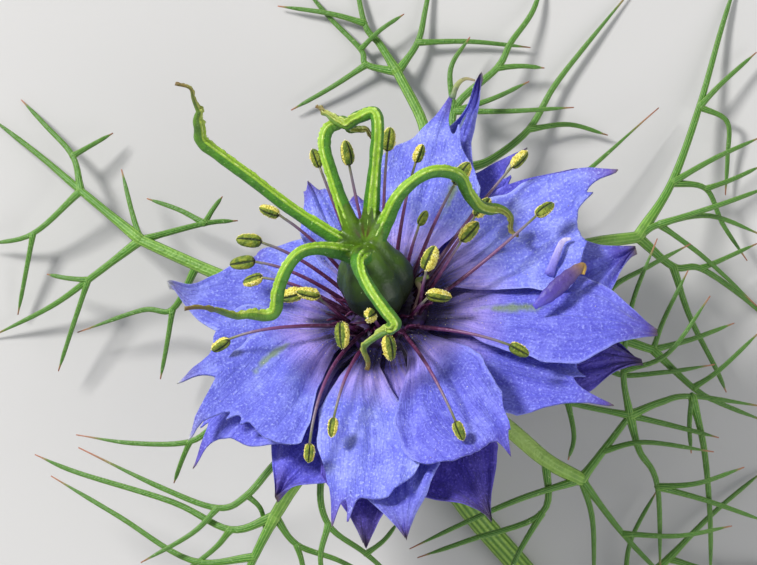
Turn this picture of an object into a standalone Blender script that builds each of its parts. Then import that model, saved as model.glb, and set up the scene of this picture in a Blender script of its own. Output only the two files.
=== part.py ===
"""Love-in-a-mist (Nigella damascena): a picked flower with its young seed pod, laid on its side.

Two frames are used, both in millimetres:
  head  - origin at the top of the receptacle, +Z along the flower's axis; petals, stamens and pod
  lying - the surface is Z = 0 below the head; the stem and the bracts that touch the surface
"""
from math import atan2, cos, degrees, hypot, pi, radians, sin, tan

import bpy
from mathutils import Euler, Matrix, Vector

MM = 0.001                        # one millimetre in scene units

# How the picked flower lies
HEAD_HEIGHT = 19.0                # receptacle top above the surface
HEAD_TURN = (-48.0, 0.0, 15.0)    # Euler angles that lean the flower's axis over, degrees

# Receptacle and stem
STEM_R = 1.2
RECEPTACLE_RINGS = ((0.0, 3.3), (-0.5, 3.7), (-1.5, 3.8), (-3.6, 3.8), (-4.7, 2.9), (-6.0, 1.9))
STEM_PATH = ((1.9, -7.0, 12.4), (4.3, -13.0, 7.4), (8.6, -20.0, 3.4), (15.0, -27.5, 1.5),
             (22.0, -36.0, 1.2), (32.0, -49.0, 1.2), (41.0, -62.0, 1.2), (50.0, -76.0, 1.2),
             (59.0, -88.0, 1.2))

# Petals lie on nested shells, level 0 on top, so that no two of them meet
CLAW_R = 4.2                      # where a petal's claw starts, from the axis
PETAL_T = 0.4                     # thickness
LEVEL_GAP, LEVEL_FAN = 0.75, 0.045    # spacing of the shells at the claw, and its growth per mm
RISE_MEAN, RISE_SWING = 14.0, 20.0    # how steeply the shells leave the axis, front to back, degrees
DROOP = 0.008                     # how fast they bend over
PETAL_WIDTHS = ((0.0, 0.16), (0.14, 0.22), (0.34, 0.74), (0.54, 1.0), (0.70, 0.86), (0.82, 0.50),
                (0.92, 0.17), (1.0, 0.05))
PETALS = (                        # azimuth, reach, level, width, sweep of the tip
    (15, 27.0, 0, 12.5, 2), (-66, 21.8, 0, 11.5, 0), (-163, 24.0, 0, 13.0, 4), (108, 15.2, 0, 6.5, -4),
    (59, 24.3, 1, 11.0, 1), (-18, 27.2, 1, 10.5, -2), (-118, 23.2, 1, 10.5, 3), (-177, 21.8, 1, 9.5, 0),
    (57, 28.5, 2, 7.0, -2), (2, 26.0, 2, 11.5, 0), (-101, 23.2, 2, 10.5, 2), (-161, 24.3, 2, 11.0, 3),
    (158, 22.2, 2, 8.5, 0), (30, 26.2, 3, 12.0, 0), (-38, 23.9, 3, 12.0, 2), (-110, 22.6, 3, 10.5, 0),
    (89, 15.0, 3, 9.0, 0), (45, 25.2, 4, 10.0, 0), (-20, 25.0, 4, 11.5, 0), (-77, 21.7, 4, 11.5, 0),
    (-139, 20.2, 4, 10.5, 0), (136, 18.0, 4, 12.0, 0))

# Stamens: tip azimuth, tip reach, height of the tip above the top shell, bow of the filament
FILAMENT_R, ANTHER_R, ANTHER_L = 0.22, 0.75, 2.6
STAMEN_RINGS = (3.1, 3.6)         # the two rings of filament bases
STAMEN_START = 0.3                # height of the filament bases over the top shell
STAMENS = (
    (-174, 16.6, 1.6, 2.0), (-129, 7.3, 3.8, 1.2), (-124, 19.0, 1.3, 2.2), (-119, 16.0, 1.6, 1.8),
    (-104, 5.9, 5.4, 0.7), (-93, 7.9, 2.9, 1.6), (-77, 18.3, 1.5, 2.0), (-43, 16.2, 1.6, 1.8),
    (-31, 6.6, 3.2, 1.0), (-12, 5.9, 6.2, 0.8), (6, 18.2, 3.5, 1.2), (9, 10.4, 4.4, 0.8),
    (18, 12.8, 4.0, 0.6), (26, 19.0, 3.2, 0.6), (27, 12.4, 7.2, 0.6), (31, 7.2, 6.2, 0.5),
    (49, 11.4, 8.0, 0.6), (64, 11.2, 9.2, 0.5), (87, 10.2, 9.0, 0.5), (103, 11.4, 8.0, 0.5),
    (133, 12.4, 5.0, 1.0), (148, 13.2, 4.2, 0.8), (154, 13.8, 2.6, 1.2), (160, 12.6, 2.2, 1.4),
    (171, 8.6, 3.0, 1.0), (178, 6.8, 4.2, 0.8))

# Seed pod: six lobes, each drawn out into a style; the style points are (reach, azimuth, height)
LOBE = ((0.9, 0.7, 0.9), (1.35, 1.5, 1.4), (1.9, 3.0, 1.7), (2.1, 4.8, 1.8), (1.75, 6.6, 1.55),
        (1.15, 8.1, 1.0))         # centreline reach, height, radius
CORE = (1.0, 8.7, 1.1)            # the middle the lobes share: bottom, top, radius
STYLE_R0, STYLE_R1 = 0.62, 0.2
STYLES = (
    (160, ((1.4, 165, 9.0), (3.3, 158, 10.6), (7.0, 154, 13.8), (10.4, 153, 17.5), (12.9, 153, 20.2),
           (14.6, 153, 22.4), (14.2, 152, 24.8), (14.2, 151, 27.0), (15.9, 151, 29.0))),
    (-140, ((1.5, -150, 9.0), (3.2, -158, 10.6), (4.9, -159, 12.0), (6.9, -158, 12.8), (8.8, -156, 12.2),
            (10.4, -155, 10.4), (11.5, -154, 8.4), (13.0, -156, 8.6), (15.2, -157, 9.8),
            (17.4, -156, 12.4), (20.3, -156, 14.6))),
    (-75, ((1.3, -100, 9.2), (3.5, -110, 10.4), (5.5, -102, 10.4), (7.5, -95, 9.9), (9.3, -89, 8.7),
           (10.4, -86, 7.6), (10.0, -92, 6.6), (10.8, -104, 5.8), (12.7, -104, 4.4))),
    (0, ((1.1, 15, 9.2), (2.7, 14, 11.2), (4.6, 12, 13.7), (7.2, 12, 14.8), (9.2, 12, 14.4),
         (10.8, 12, 12.8), (11.3, 11, 10.4), (12.2, 11, 8.2), (13.6, 12, 7.0), (14.8, 9, 5.8),
         (14.9, 2, 4.8))),
    (55, ((1.1, 60, 9.4), (2.8, 50, 13.2), (4.6, 47, 17.0), (5.9, 46, 20.0), (6.7, 52, 21.0),
          (6.6, 66, 20.4), (7.2, 80, 19.2), (8.4, 92, 19.6), (10.0, 97, 19.8))),
    (110, ((1.3, 125, 9.4), (3.0, 114, 12.8), (4.9, 107, 15.6), (6.5, 103, 17.4), (7.6, 96, 18.4),
           (8.2, 86, 18.4), (8.3, 76, 17.6), (8.2, 66, 16.2))))

# Bracts under the petals and leaves on the stem, in the lying frame. Each holds threads of
# (first radius, last radius, points); a thread starts at a point of one listed before it.
BRACT_ROOT = (3.3, -5.6)          # where a bract leaves the receptacle: reach, height
BRACTS = {
    "bract_left": (155, (
        (0.8, 0.55, ((-6.5, 0.0, 11.5), (-13.8, 2.5, 9.4), (-19.1, 4.7, 8.4), (-24.9, 7.3, 7.0))),
        (0.5, 0.22, ((-24.9, 7.3, 7.0), (-31.2, 12.4, 4.4), (-35.5, 16.0, 2.4), (-41.5, 20.6, 0.3))),
        (0.36, 0.2, ((-31.2, 12.4, 4.4), (-32.1, 16.0, 3.2), (-35.0, 19.2, 1.8), (-37.6, 21.9, 0.3))),
        (0.32, 0.2, ((-32.1, 16.0, 3.2), (-30.4, 17.0, 2.8), (-28.0, 18.4, 2.0))),
        (0.36, 0.2, ((-31.2, 12.4, 4.4), (-36.2, 8.0, 3.0), (-41.0, 6.9, 1.4))),
        (0.3, 0.2, ((-36.2, 8.0, 3.0), (-37.0, 4.0, 2.2), (-37.9, -0.4, 1.2))),
        (0.42, 0.2, ((-24.9, 7.3, 7.0), (-30.4, 3.2, 5.0), (-34.5, 0.4, 2.8), (-41.0, -2.8, 0.3))),
        (0.3, 0.2, ((-30.4, 3.2, 5.0), (-32.2, -2.0, 3.8), (-33.6, -6.2, 2.8))),
        (0.3, 0.2, ((-30.4, 3.2, 5.0), (-32.6, 3.4, 4.6), (-34.7, 3.8, 4.0))),
        (0.34, 0.2, ((-24.9, 7.3, 7.0), (-25.8, 10.0, 6.0), (-27.0, 14.6, 4.4))),
        (0.36, 0.2, ((-24.9, 7.3, 7.0), (-18.4, 9.0, 6.0), (-15.0, 9.3, 5.6))),
        (0.32, 0.2, ((-18.4, 9.0, 6.0), (-21.0, 10.4, 5.2), (-24.4, 11.6, 4.2))),
        (0.32, 0.2, ((-18.4, 9.0, 6.0), (-17.6, 10.4, 5.4), (-16.6, 11.8, 4.8))),
        (0.38, 0.2, ((-19.1, 4.7, 8.4), (-21.7, 0.2, 5.6), (-24.9, 0.1, 4.6), (-31.6, -2.2, 3.2))),
        (0.3, 0.2, ((-21.7, 0.2, 5.6), (-22.3, -3.4, 5.0), (-23.0, -7.0, 4.4))))),
    "bract_back": (95, (
        (0.75, 0.5, ((2.3, 4.0, 11.0), (3.6, 10.0, 7.6), (4.1, 16.0, 4.9), (4.0, 19.4, 3.8),
                     (1.4, 24.7, 2.0))),
        (0.48, 0.22, ((1.4, 24.7, 2.0), (-0.4, 27.6, 1.4), (-2.0, 29.8, 1.1), (-3.2, 36.0, 0.3))),
        (0.34, 0.2, ((-2.0, 29.8, 1.1), (-5.6, 30.8, 1.2), (-11.0, 31.6, 0.8))),
        (0.38, 0.2, ((1.4, 24.7, 2.0), (-1.8, 25.5, 1.7), (-2.4, 27.1, 1.2), (-5.8, 30.6, 0.6),
                     (-8.6, 34.0, 0.3))),
        (0.32, 0.2, ((-1.8, 25.5, 1.7), (-5.5, 23.1, 1.4), (-9.6, 20.8, 1.0))),
        (0.28, 0.2, ((-2.4, 27.1, 1.2), (-0.4, 29.0, 2.4), (2.1, 30.7, 2.2))),
        (0.4, 0.2, ((1.4, 24.7, 2.0), (3.5, 27.8, 1.4), (4.3, 31.2, 0.9), (5.2, 36.0, 0.3))),
        (0.32, 0.2, ((3.5, 27.8, 1.4), (9.0, 27.9, 1.2), (15.2, 27.3, 0.9))))),
    "bract_fan": (62, (
        (0.68, 0.48, ((4.6, 3.6, 11.0), (6.6, 9.0, 8.0), (8.0, 14.6, 5.2))),
        (0.44, 0.24, ((8.0, 14.6, 5.2), (7.2, 20.6, 3.6), (11.7, 25.1, 2.8), (13.1, 27.7, 2.4),
                      (15.5, 31.2, 1.2), (16.8, 35.6, 0.3))),
        (0.32, 0.2, ((11.7, 25.1, 2.8), (14.2, 25.3, 2.6), (16.6, 25.1, 2.6))),
        (0.34, 0.2, ((7.2, 20.6, 3.6), (6.9, 25.0, 3.2), (8.9, 28.3, 2.8))),
        (0.34, 0.2, ((7.2, 20.6, 3.6), (11.2, 21.9, 3.2), (15.0, 23.7, 2.8))),
        (0.34, 0.2, ((7.2, 20.6, 3.6), (13.0, 20.6, 4.0), (19.6, 21.0, 3.6))),
        (0.46, 0.2, ((8.0, 14.6, 5.2), (11.0, 15.6, 3.6), (15.0, 18.8, 2.0), (17.6, 23.2, 1.2),
                     (21.0, 27.6, 0.8), (26.6, 34.4, 0.3))),
        (0.32, 0.2, ((15.0, 18.8, 2.0), (19.2, 19.3, 1.6), (23.2, 18.2, 1.2))),
        (0.36, 0.2, ((8.0, 14.6, 5.2), (12.5, 12.2, 5.6), (18.1, 12.4, 5.2), (28.4, 21.0, 2.6))))),
    "bract_right": (18, (
        (0.8, 0.6, ((8.0, 1.4, 12.4), (15.0, 5.0, 10.0), (20.7, 6.8, 8.6), (26.0, 7.6, 7.4))),
        (0.5, 0.2, ((26.0, 7.6, 7.4), (29.6, 13.2, 4.9), (32.6, 21.1, 2.4), (35.0, 29.3, 0.8),
                    (36.9, 35.2, 0.3))),
        (0.34, 0.2, ((29.6, 13.2, 4.9), (34.0, 15.7, 4.0), (39.0, 18.0, 3.0))),
        (0.34, 0.2, ((29.6, 13.2, 4.9), (33.2, 12.6, 3.6), (35.0, 9.0, 2.6), (37.6, 5.2, 1.6))),
        (0.3, 0.2, ((33.2, 12.6, 3.6), (36.0, 13.6, 2.8), (39.0, 15.0, 2.0))),
        (0.42, 0.2, ((26.0, 7.6, 7.4), (28.2, 8.9, 6.8), (33.5, 9.8, 5.4), (39.5, 7.6, 4.2))),
        (0.34, 0.2, ((28.2, 8.9, 6.8), (34.4, 10.9, 6.2), (39.6, 12.8, 5.2))),
        (0.32, 0.2, ((28.2, 8.9, 6.8), (30.4, 7.4, 5.8), (33.3, 5.2, 5.0), (38.6, 0.4, 3.4))),
        (0.44, 0.22, ((26.0, 7.6, 7.4), (29.7, 4.6, 5.6), (32.6, 4.4, 4.6), (37.2, 1.4, 2.0),
                      (40.6, -1.6, 0.3))),
        (0.32, 0.2, ((32.6, 4.4, 4.6), (34.6, 5.2, 4.0), (38.6, 7.0, 2.8))),
        (0.36, 0.2, ((29.7, 4.6, 5.6), (31.5, -0.6, 4.4), (34.3, -6.0, 3.0), (35.4, -8.4, 2.2))),
        (0.34, 0.2, ((32.6, 21.1, 2.4), (35.0, 23.6, 2.0), (38.6, 26.8, 1.2))),
        (0.3, 0.2, ((32.6, 21.1, 2.4), (35.5, 19.6, 1.8), (35.6, 16.0, 1.2), (35.4, 12.0, 0.8))))),
    "bract_side": (-14, (
        (0.7, 0.42, ((8.0, -1.6, 14.4), (15.5, -2.2, 12.8), (22.5, -2.5, 11.2), (27.4, -3.9, 9.8))),
        (0.34, 0.2, ((27.4, -3.9, 9.8), (31.5, -2.8, 9.0), (35.8, -1.2, 8.2))),
        (0.38, 0.2, ((27.4, -3.9, 9.8), (31.6, -7.8, 8.6), (34.4, -9.4, 7.8), (39.4, -11.4, 6.4))),
        (0.32, 0.2, ((31.6, -7.8, 8.6), (34.4, -5.9, 8.0), (38.6, -2.0, 7.0))),
        (0.36, 0.2, ((22.5, -2.5, 11.2), (22.9, 2.0, 10.4), (27.0, 4.6, 9.8), (31.3, 6.9, 9.2))),
        (0.3, 0.2, ((27.4, -3.9, 9.8), (28.6, -0.6, 10.0), (31.0, 4.2, 9.6))),
        (0.34, 0.2, ((22.5, -2.5, 11.2), (23.4, -6.2, 10.4), (28.4, -6.2, 10.2), (33.7, -5.4, 9.6))))),
    "bract_front_right": (-42, (
        (1.0, 0.7, ((6.4, -7.6, 15.2), (12.1, -11.4, 14.6), (16.4, -15.0, 13.6), (20.0, -17.0, 12.4))),
        (0.5, 0.3, ((20.0, -17.0, 12.4), (22.2, -14.1, 12.6), (24.9, -10.5, 12.8))),
        (0.44, 0.2, ((24.9, -10.5, 12.8), (28.0, -9.2, 12.2), (31.3, -8.6, 11.4), (39.4, -9.8, 9.4))),
        (0.34, 0.2, ((24.9, -10.5, 12.8), (18.6, -9.2, 13.8), (12.8, -7.6, 16.2))),
        (0.36, 0.2, ((24.9, -10.5, 12.8), (24.2, -6.0, 13.8), (25.0, 0.6, 14.4), (27.6, 7.4, 14.2))),
        (0.3, 0.2, ((24.2, -6.0, 13.8), (28.7, -4.2, 14.0), (33.0, 1.6, 13.4))),
        (0.34, 0.2, ((24.9, -10.5, 12.8), (29.4, -11.6, 12.0), (34.0, -12.8, 11.4))),
        (0.42, 0.22, ((24.9, -10.5, 12.8), (25.9, -14.1, 12.0), (27.8, -17.8, 11.0), (28.2, -28.0, 9.0))),
        (0.32, 0.2, ((22.2, -14.1, 12.6), (26.4, -13.2, 13.4), (33.4, -14.2, 12.8))),
        (0.4, 0.2, ((31.3, -8.6, 11.4), (32.6, -14.1, 10.2), (33.3, -21.4, 8.8), (33.4, -28.0, 7.6))),
        (0.3, 0.2, ((31.3, -8.6, 11.4), (31.0, -11.4, 11.6), (31.2, -14.4, 11.4))),
        (0.4, 0.2, ((20.0, -17.0, 12.4), (24.3, -22.6, 10.6), (29.0, -27.6, 9.6))),
        (0.36, 0.2, ((20.0, -17.0, 12.4), (21.2, -21.3, 11.2), (21.4, -28.0, 9.6))),
        (0.4, 0.2, ((16.4, -15.0, 13.6), (16.0, -20.4, 12.6), (8.6, -23.2, 11.8), (3.4, -25.0, 11.2))),
        (0.34, 0.2, ((16.0, -20.4, 12.6), (13.4, -25.0, 11.8), (12.0, -29.0, 11.2))),
        (0.34, 0.2, ((27.8, -17.8, 11.0), (33.0, -19.3, 9.9), (39.4, -21.6, 8.4))),
        (0.32, 0.2, ((27.8, -17.8, 11.0), (32.0, -17.4, 11.4), (36.6, -15.8, 11.4))),
        (0.3, 0.2, ((24.3, -22.6, 10.6), (30.0, -22.8, 10.8), (35.4, -21.8, 10.6))),
        (0.38, 0.2, ((20.0, -17.0, 12.4), (14.0, -18.8, 14.2), (8.4, -21.2, 14.0), (2.6, -24.0, 13.2))),
        (0.3, 0.2, ((18.6, -9.2, 13.8), (19.2, -12.6, 13.8), (18.6, -15.0, 14.0))))),
    "bract_front_left": (-125, (
        (0.8, 0.6, ((-4.0, -10.6, 16.0), (-8.8, -17.1, 15.6), (-11.0, -20.6, 15.0))),
        (0.58, 0.26, ((-11.0, -20.6, 15.0), (-13.1, -24.8, 14.0), (-15.4, -30.0, 12.6))),
        (0.42, 0.2, ((-11.0, -20.6, 15.0), (-15.5, -22.0, 14.0), (-21.4, -19.3, 12.4),
                     (-31.2, -16.4, 10.0), (-35.6, -14.6, 9.0))),
        (0.36, 0.2, ((-15.5, -22.0, 14.0), (-17.4, -24.2, 13.0), (-22.4, -28.0, 11.2))),
        (0.38, 0.2, ((-13.1, -24.8, 14.0), (-19.5, -25.2, 12.4), (-27.0, -20.8, 10.6), (-34.0, -16.8, 8.4))),
        (0.44, 0.24, ((-4.0, -10.6, 16.0), (-10.2, -14.6, 15.2), (-13.8, -18.5, 14.8), (-16.8, -19.8, 14.4),
                      (-22.5, -17.8, 13.4), (-31.0, -13.8, 11.6))),
        (0.32, 0.2, ((-16.8, -19.8, 14.4), (-19.4, -22.4, 14.0), (-24.6, -25.4, 13.0))),
        (0.38, 0.2, ((-11.0, -20.6, 15.0), (-8.8, -23.5, 14.2), (-4.5, -25.2, 13.2), (0.0, -27.6, 12.6))),
        (0.32, 0.2, ((-8.8, -23.5, 14.2), (-8.2, -26.0, 13.6), (-8.6, -29.4, 13.0))),
        (0.42, 0.22, ((-4.0, -10.6, 16.0), (-6.3, -16.8, 16.4), (-5.6, -21.4, 15.8), (-1.8, -24.4, 15.0),
                      (2.0, -27.8, 14.2))),
        (0.34, 0.2, ((-5.6, -21.4, 15.8), (-6.4, -25.0, 15.4), (-5.4, -29.4, 14.8))),
        (0.3, 0.2, ((-1.8, -24.4, 15.0), (0.0, -23.0, 15.6), (1.4, -21.2, 15.8))),
        (0.3, 0.2, ((-13.8, -18.5, 14.8), (-12.4, -20.0, 14.2), (-12.0, -22.6, 13.2))),
        (0.42, 0.2, ((-4.0, -10.6, 16.0), (-10.0, -11.0, 14.8), (-16.0, -11.0, 13.2), (-19.7, -13.2, 12.0),
                     (-25.6, -13.4, 10.2), (-31.4, -12.6, 8.6))),
        (0.3, 0.2, ((-19.7, -13.2, 12.0), (-20.6, -15.3, 10.8), (-21.4, -17.5, 9.4))))),
}
STEM_LEAVES = {
    "stem_leaf_upper": (
        (0.6, 0.4, ((21.9, -33.1, 1.3), (25.0, -29.6, 2.6), (29.4, -25.6, 2.4))),
        (0.36, 0.2, ((29.4, -25.6, 2.4), (34.0, -21.0, 1.6), (39.6, -16.4, 0.3))),
        (0.34, 0.2, ((29.4, -25.6, 2.4), (35.0, -27.0, 1.6), (41.6, -26.4, 0.4))),
        (0.3, 0.2, ((35.0, -27.0, 1.6), (39.0, -30.4, 1.0), (43.4, -33.0, 0.4))),
        (0.3, 0.2, ((25.0, -29.6, 2.6), (25.4, -24.0, 2.8), (28.4, -18.2, 2.2))),
        (0.3, 0.2, ((25.0, -29.6, 2.6), (31.0, -32.0, 1.8), (37.4, -35.4, 0.8)))),
    "stem_leaf_lower": (
        (0.6, 0.4, ((39.6, -63.2, 1.3), (36.0, -64.0, 2.2), (30.0, -63.0, 1.8))),
        (0.36, 0.2, ((30.0, -63.0, 1.8), (23.0, -58.0, 1.0), (16.0, -54.6, 0.3))),
        (0.34, 0.2, ((30.0, -63.0, 1.8), (22.4, -65.0, 1.2), (14.0, -64.0, 0.4))),
        (0.3, 0.2, ((22.4, -65.0, 1.2), (17.6, -69.0, 0.8), (12.6, -71.4, 0.4))),
        (0.3, 0.2, ((36.0, -64.0, 2.2), (30.4, -69.6, 1.6), (23.6, -74.0, 0.6))),
        (0.3, 0.2, ((36.0, -64.0, 2.2), (32.0, -58.0, 1.8), (26.4, -52.6, 0.8)))),
}

# Colour and roughness of each kind of tissue
MATERIALS = {
    "petal": ((0.16, 0.19, 0.72), 0.6), "pod": ((0.05, 0.17, 0.03), 0.4),
    "stamen": ((0.33, 0.34, 0.07), 0.6), "bract": ((0.10, 0.30, 0.06), 0.55),
    "stem": ((0.13, 0.31, 0.09), 0.5)}

HEAD = Matrix.Translation((0, 0, HEAD_HEIGHT)) @ Euler([radians(a) for a in HEAD_TURN]).to_matrix().to_4x4()


def polar(reach, azimuth, height):
    """A point at a reach from the axis, an azimuth in degrees and a height."""
    return Vector((reach * cos(radians(azimuth)), reach * sin(radians(azimuth)), height))


def shell(reach, azimuth, level):
    """Height of a petal shell: steep at the back, drooping at the front, lower for deeper levels."""
    x = max(reach - CLAW_R, 0.0)
    rise = radians(RISE_MEAN + RISE_SWING * sin(radians(azimuth)))
    return tan(rise) * x - DROOP * x * x - level * (LEVEL_GAP + LEVEL_FAN * x)


def lookup(table, t):
    """Straight-line reading of a table of (t, value) rows."""
    for (t0, v0), (t1, v1) in zip(table, table[1:]):
        if t <= t1:
            return v0 + (v1 - v0) * (t - t0) / (t1 - t0)
    return table[-1][1]


def spline(points, steps):
    """A Catmull-Rom curve through the points, with this many steps between two of them."""
    p = [Vector(q) for q in points]
    p = [2 * p[0] - p[1]] + p + [2 * p[-1] - p[-2]]
    curve = []
    for a, b, c, d in zip(p, p[1:], p[2:], p[3:]):
        for i in range(steps):
            s = i / steps
            curve.append(0.5 * (2 * b + (c - a) * s + (2 * a - 5 * b + 4 * c - d) * s ** 2
                                + (3 * b - a - 3 * c + d) * s ** 3))
    return curve + [p[-2]]


def add_empty(name, parent=None):
    """A frame to hang pieces on."""
    empty = bpy.data.objects.new(name, None)
    empty.parent = parent
    bpy.context.collection.objects.link(empty)
    return empty


def add_object(name, mesh, frame=None, material=None):
    """A mesh object in a frame, smooth shaded."""
    obj = bpy.data.objects.new(name, mesh)
    obj.parent = frame
    bpy.context.collection.objects.link(obj)
    mesh.shade_smooth()
    if material:
        mesh.materials.clear()
        mesh.materials.append(bpy.data.materials[material])
    return obj


def add_materials():
    """A Principled BSDF for each kind of tissue."""
    for name, (colour, roughness) in MATERIALS.items():
        material = bpy.data.materials.new(name)
        material.use_nodes = True
        surface = material.node_tree.nodes["Principled BSDF"]
        surface.inputs["Base Color"].default_value = (*colour, 1)
        surface.inputs["Roughness"].default_value = roughness
        surface.inputs["Metallic"].default_value = 0


def tube_mesh(centres, radii, sides):
    """A closed tube along a curve, its radius given at every point."""
    verts, across = [], None
    for i, (centre, radius) in enumerate(zip(centres, radii)):
        along = (centres[min(i + 1, len(centres) - 1)] - centres[max(i - 1, 0)]).normalized()
        across = across or along.orthogonal()
        across = (across - along * across.dot(along)).normalized()
        side = along.cross(across)
        for k in range(sides):
            turn = 2 * pi * k / sides
            verts.append(centre + radius * (cos(turn) * across + sin(turn) * side))
    faces = []
    for i in range(len(centres) - 1):
        for k in range(sides):
            a, b = i * sides + k, i * sides + (k + 1) % sides
            faces.append((a, b, b + sides, a + sides))
    faces.append(tuple(range(sides - 1, -1, -1)))
    faces.append(tuple(range(len(verts) - sides, len(verts))))
    mesh = bpy.data.meshes.new("tube")
    mesh.from_pydata(verts, [], faces)
    return mesh


def united(meshes):
    """One closed body made of overlapping ones."""
    parts = [add_object("grown", mesh) for mesh in meshes]
    body = parts[0]
    for other in parts[1:]:
        cut = body.modifiers.new("join", "BOOLEAN")
        cut.operation, cut.solver, cut.object = "UNION", "EXACT", other
    bpy.context.view_layer.update()
    mesh = bpy.data.meshes.new_from_object(body.evaluated_get(bpy.context.evaluated_depsgraph_get()))
    for part in parts:
        bpy.data.objects.remove(part)
    return mesh


def petal_mesh(azimuth, reach, level, width, sweep, rows=8, columns=4):
    """A claw that widens into a pointed blade, bent to its shell."""
    verts = []
    for lift in (PETAL_T / 2, -PETAL_T / 2):
        for i in range(rows + 1):
            t = i / rows
            middle = azimuth + sweep * t * t
            out = polar(CLAW_R + 0.1 + (reach - CLAW_R) * t, middle, 0)
            side = polar(1, middle + 90, 0)
            half = width / 2 * lookup(PETAL_WIDTHS, t)
            for j in range(columns + 1):
                p = out + side * half * (2 * j / columns - 1)
                p.z = shell(hypot(p.x, p.y), degrees(atan2(p.y, p.x)), level) + lift
                verts.append(p)
    n, m = columns + 1, (rows + 1) * (columns + 1)
    faces = []
    for i in range(rows):
        for j in range(columns):
            a = i * n + j
            faces.append((a, a + n, a + n + 1, a + 1))
            faces.append((m + a, m + a + 1, m + a + n + 1, m + a + n))
    rim = ([j for j in range(columns)] + [i * n + columns for i in range(rows)]
           + [rows * n + j for j in range(columns, 0, -1)] + [i * n for i in range(rows, 0, -1)])
    faces += [(a, b, m + b, m + a) for a, b in zip(rim, rim[1:] + rim[:1])]
    mesh = bpy.data.meshes.new("petal")
    mesh.from_pydata(verts, [], faces)
    return mesh


def stamen_path(index, steps):
    """The centreline of a stamen: off the receptacle, over the petals, to the anther's tip."""
    azimuth, reach, height, bow = STAMENS[index]
    base_r = STAMEN_RINGS[index % 2]
    base_az = -158 + 360 * index / len(STAMENS)
    points = []
    for i in range(steps + 1):
        s = i / steps
        r = base_r + (reach - base_r) * s ** 0.8
        az = base_az + (azimuth - base_az) * s ** 0.7
        rise = STAMEN_START + (height - STAMEN_START) * s
        arch = bow * max(sin(pi * s), 0.0) ** 0.7
        points.append(polar(r, az, shell(r, az, 0) + rise + arch))
    return points


def stamen_mesh(index, steps=7):
    """A filament with its anther, one tube."""
    centres = stamen_path(index, steps)
    end = centres[-1]
    along = (end - centres[-2]).normalized()
    filament = [c for c in centres if (c - end).length > 0.7 * ANTHER_L]
    anther = [end + along * ANTHER_L * k for k in (-0.5, -0.35, 0.3, 0.5)]
    radii = [FILAMENT_R] * (len(filament) + 1) + [ANTHER_R, ANTHER_R, 0.3]
    centres = filament + anther
    return tube_mesh(centres, radii, 5)


def seed_pod_mesh():
    """Six lobes grown together, each ending in a long curved style."""
    parts = []
    for lobe_az, points in STYLES:
        centres = [polar(r, lobe_az, z) for r, z, _ in LOBE]
        radii = [radius for _, _, radius in LOBE]
        style = spline([polar(*q) for q in points], 2)
        centres += style
        last = len(style) - 1
        radii += [STYLE_R0 + (STYLE_R1 - STYLE_R0) * (i / last) ** 2 for i in range(last + 1)]
        parts.append(tube_mesh(centres, radii, 8))
    bottom, top, radius = CORE
    parts.append(tube_mesh([Vector((0, 0, bottom)), Vector((0, 0, top))], [radius, radius], 10))
    return united(parts)


def stem_mesh():
    """The receptacle's dome and the stem under it, down to the surface and along it."""
    top = [HEAD @ Vector((0, 0, z)) for z, _ in RECEPTACLE_RINGS]
    below = spline(STEM_PATH, 2)
    radii = [r for _, r in RECEPTACLE_RINGS] + [STEM_R] * len(below)
    return tube_mesh(top + below, radii, 12)


def foliage_mesh(threads, root=None):
    """A feathery bract or leaf: tapered threads grown together."""
    parts = []
    for i, (first, last, points) in enumerate(threads):
        if i == 0 and root is not None:
            points = (root,) + points
        centres = spline(points, 2)
        n = len(centres) - 1
        parts.append(tube_mesh(centres, [first + (last - first) * k / n for k in range(n + 1)], 5))
    return united(parts)


def build(lying, head):
    """Every piece, in the frame that it is drawn in."""
    add_object("stem", stem_mesh(), lying, "stem")
    add_object("seed_pod", seed_pod_mesh(), head, "pod")
    for i, spec in enumerate(PETALS, 1):
        add_object(f"petal_{i:02d}", petal_mesh(*spec), head, "petal")
    for i in range(len(STAMENS)):
        add_object(f"stamen_{i + 1:02d}", stamen_mesh(i), head, "stamen")
    for name, (azimuth, threads) in BRACTS.items():
        root = HEAD @ polar(BRACT_ROOT[0], azimuth, BRACT_ROOT[1])
        add_object(name, foliage_mesh(threads, root), lying, "bract")
    for name, threads in STEM_LEAVES.items():
        add_object(name, foliage_mesh(threads), lying, "bract")


def stand_on_surface(lying):
    """Moves the lying frame so that the middle of the box's underside is the world's origin."""
    bpy.context.view_layer.update()
    meshes = [obj for obj in bpy.data.objects if obj.type == "MESH"]
    points = [obj.matrix_world @ v.co for obj in meshes for v in obj.data.vertices]
    low = Vector([min(p[k] for p in points) for k in range(3)])
    high = Vector([max(p[k] for p in points) for k in range(3)])
    lying.location = (-(low.x + high.x) / 2, -(low.y + high.y) / 2, -low.z)


for old in list(bpy.data.objects):
    bpy.data.objects.remove(old)
add_materials()
lying_frame = add_empty("lying")
lying_frame.scale = (MM, MM, MM)
head_frame = add_empty("head", lying_frame)
head_frame.matrix_basis = HEAD
build(lying_frame, head_frame)
stand_on_surface(lying_frame)
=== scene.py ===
"""Looks of a picked love-in-a-mist flower with its young seed pod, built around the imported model.

Shapes are drawn in millimetres in the two frames of the construction: head, whose +Z is the
flower's axis, and lying, whose Z = 0 is the surface. Every mesh is then turned into the row
frame, in metres. A vertex attribute named flow tells the materials where they are on a piece.
"""

from math import atan2, cos, degrees, exp, hypot, pi, radians, sin, sqrt, tan
from random import Random

import bpy
from mathutils import Euler, Matrix, Vector
from mathutils.noise import noise


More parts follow.
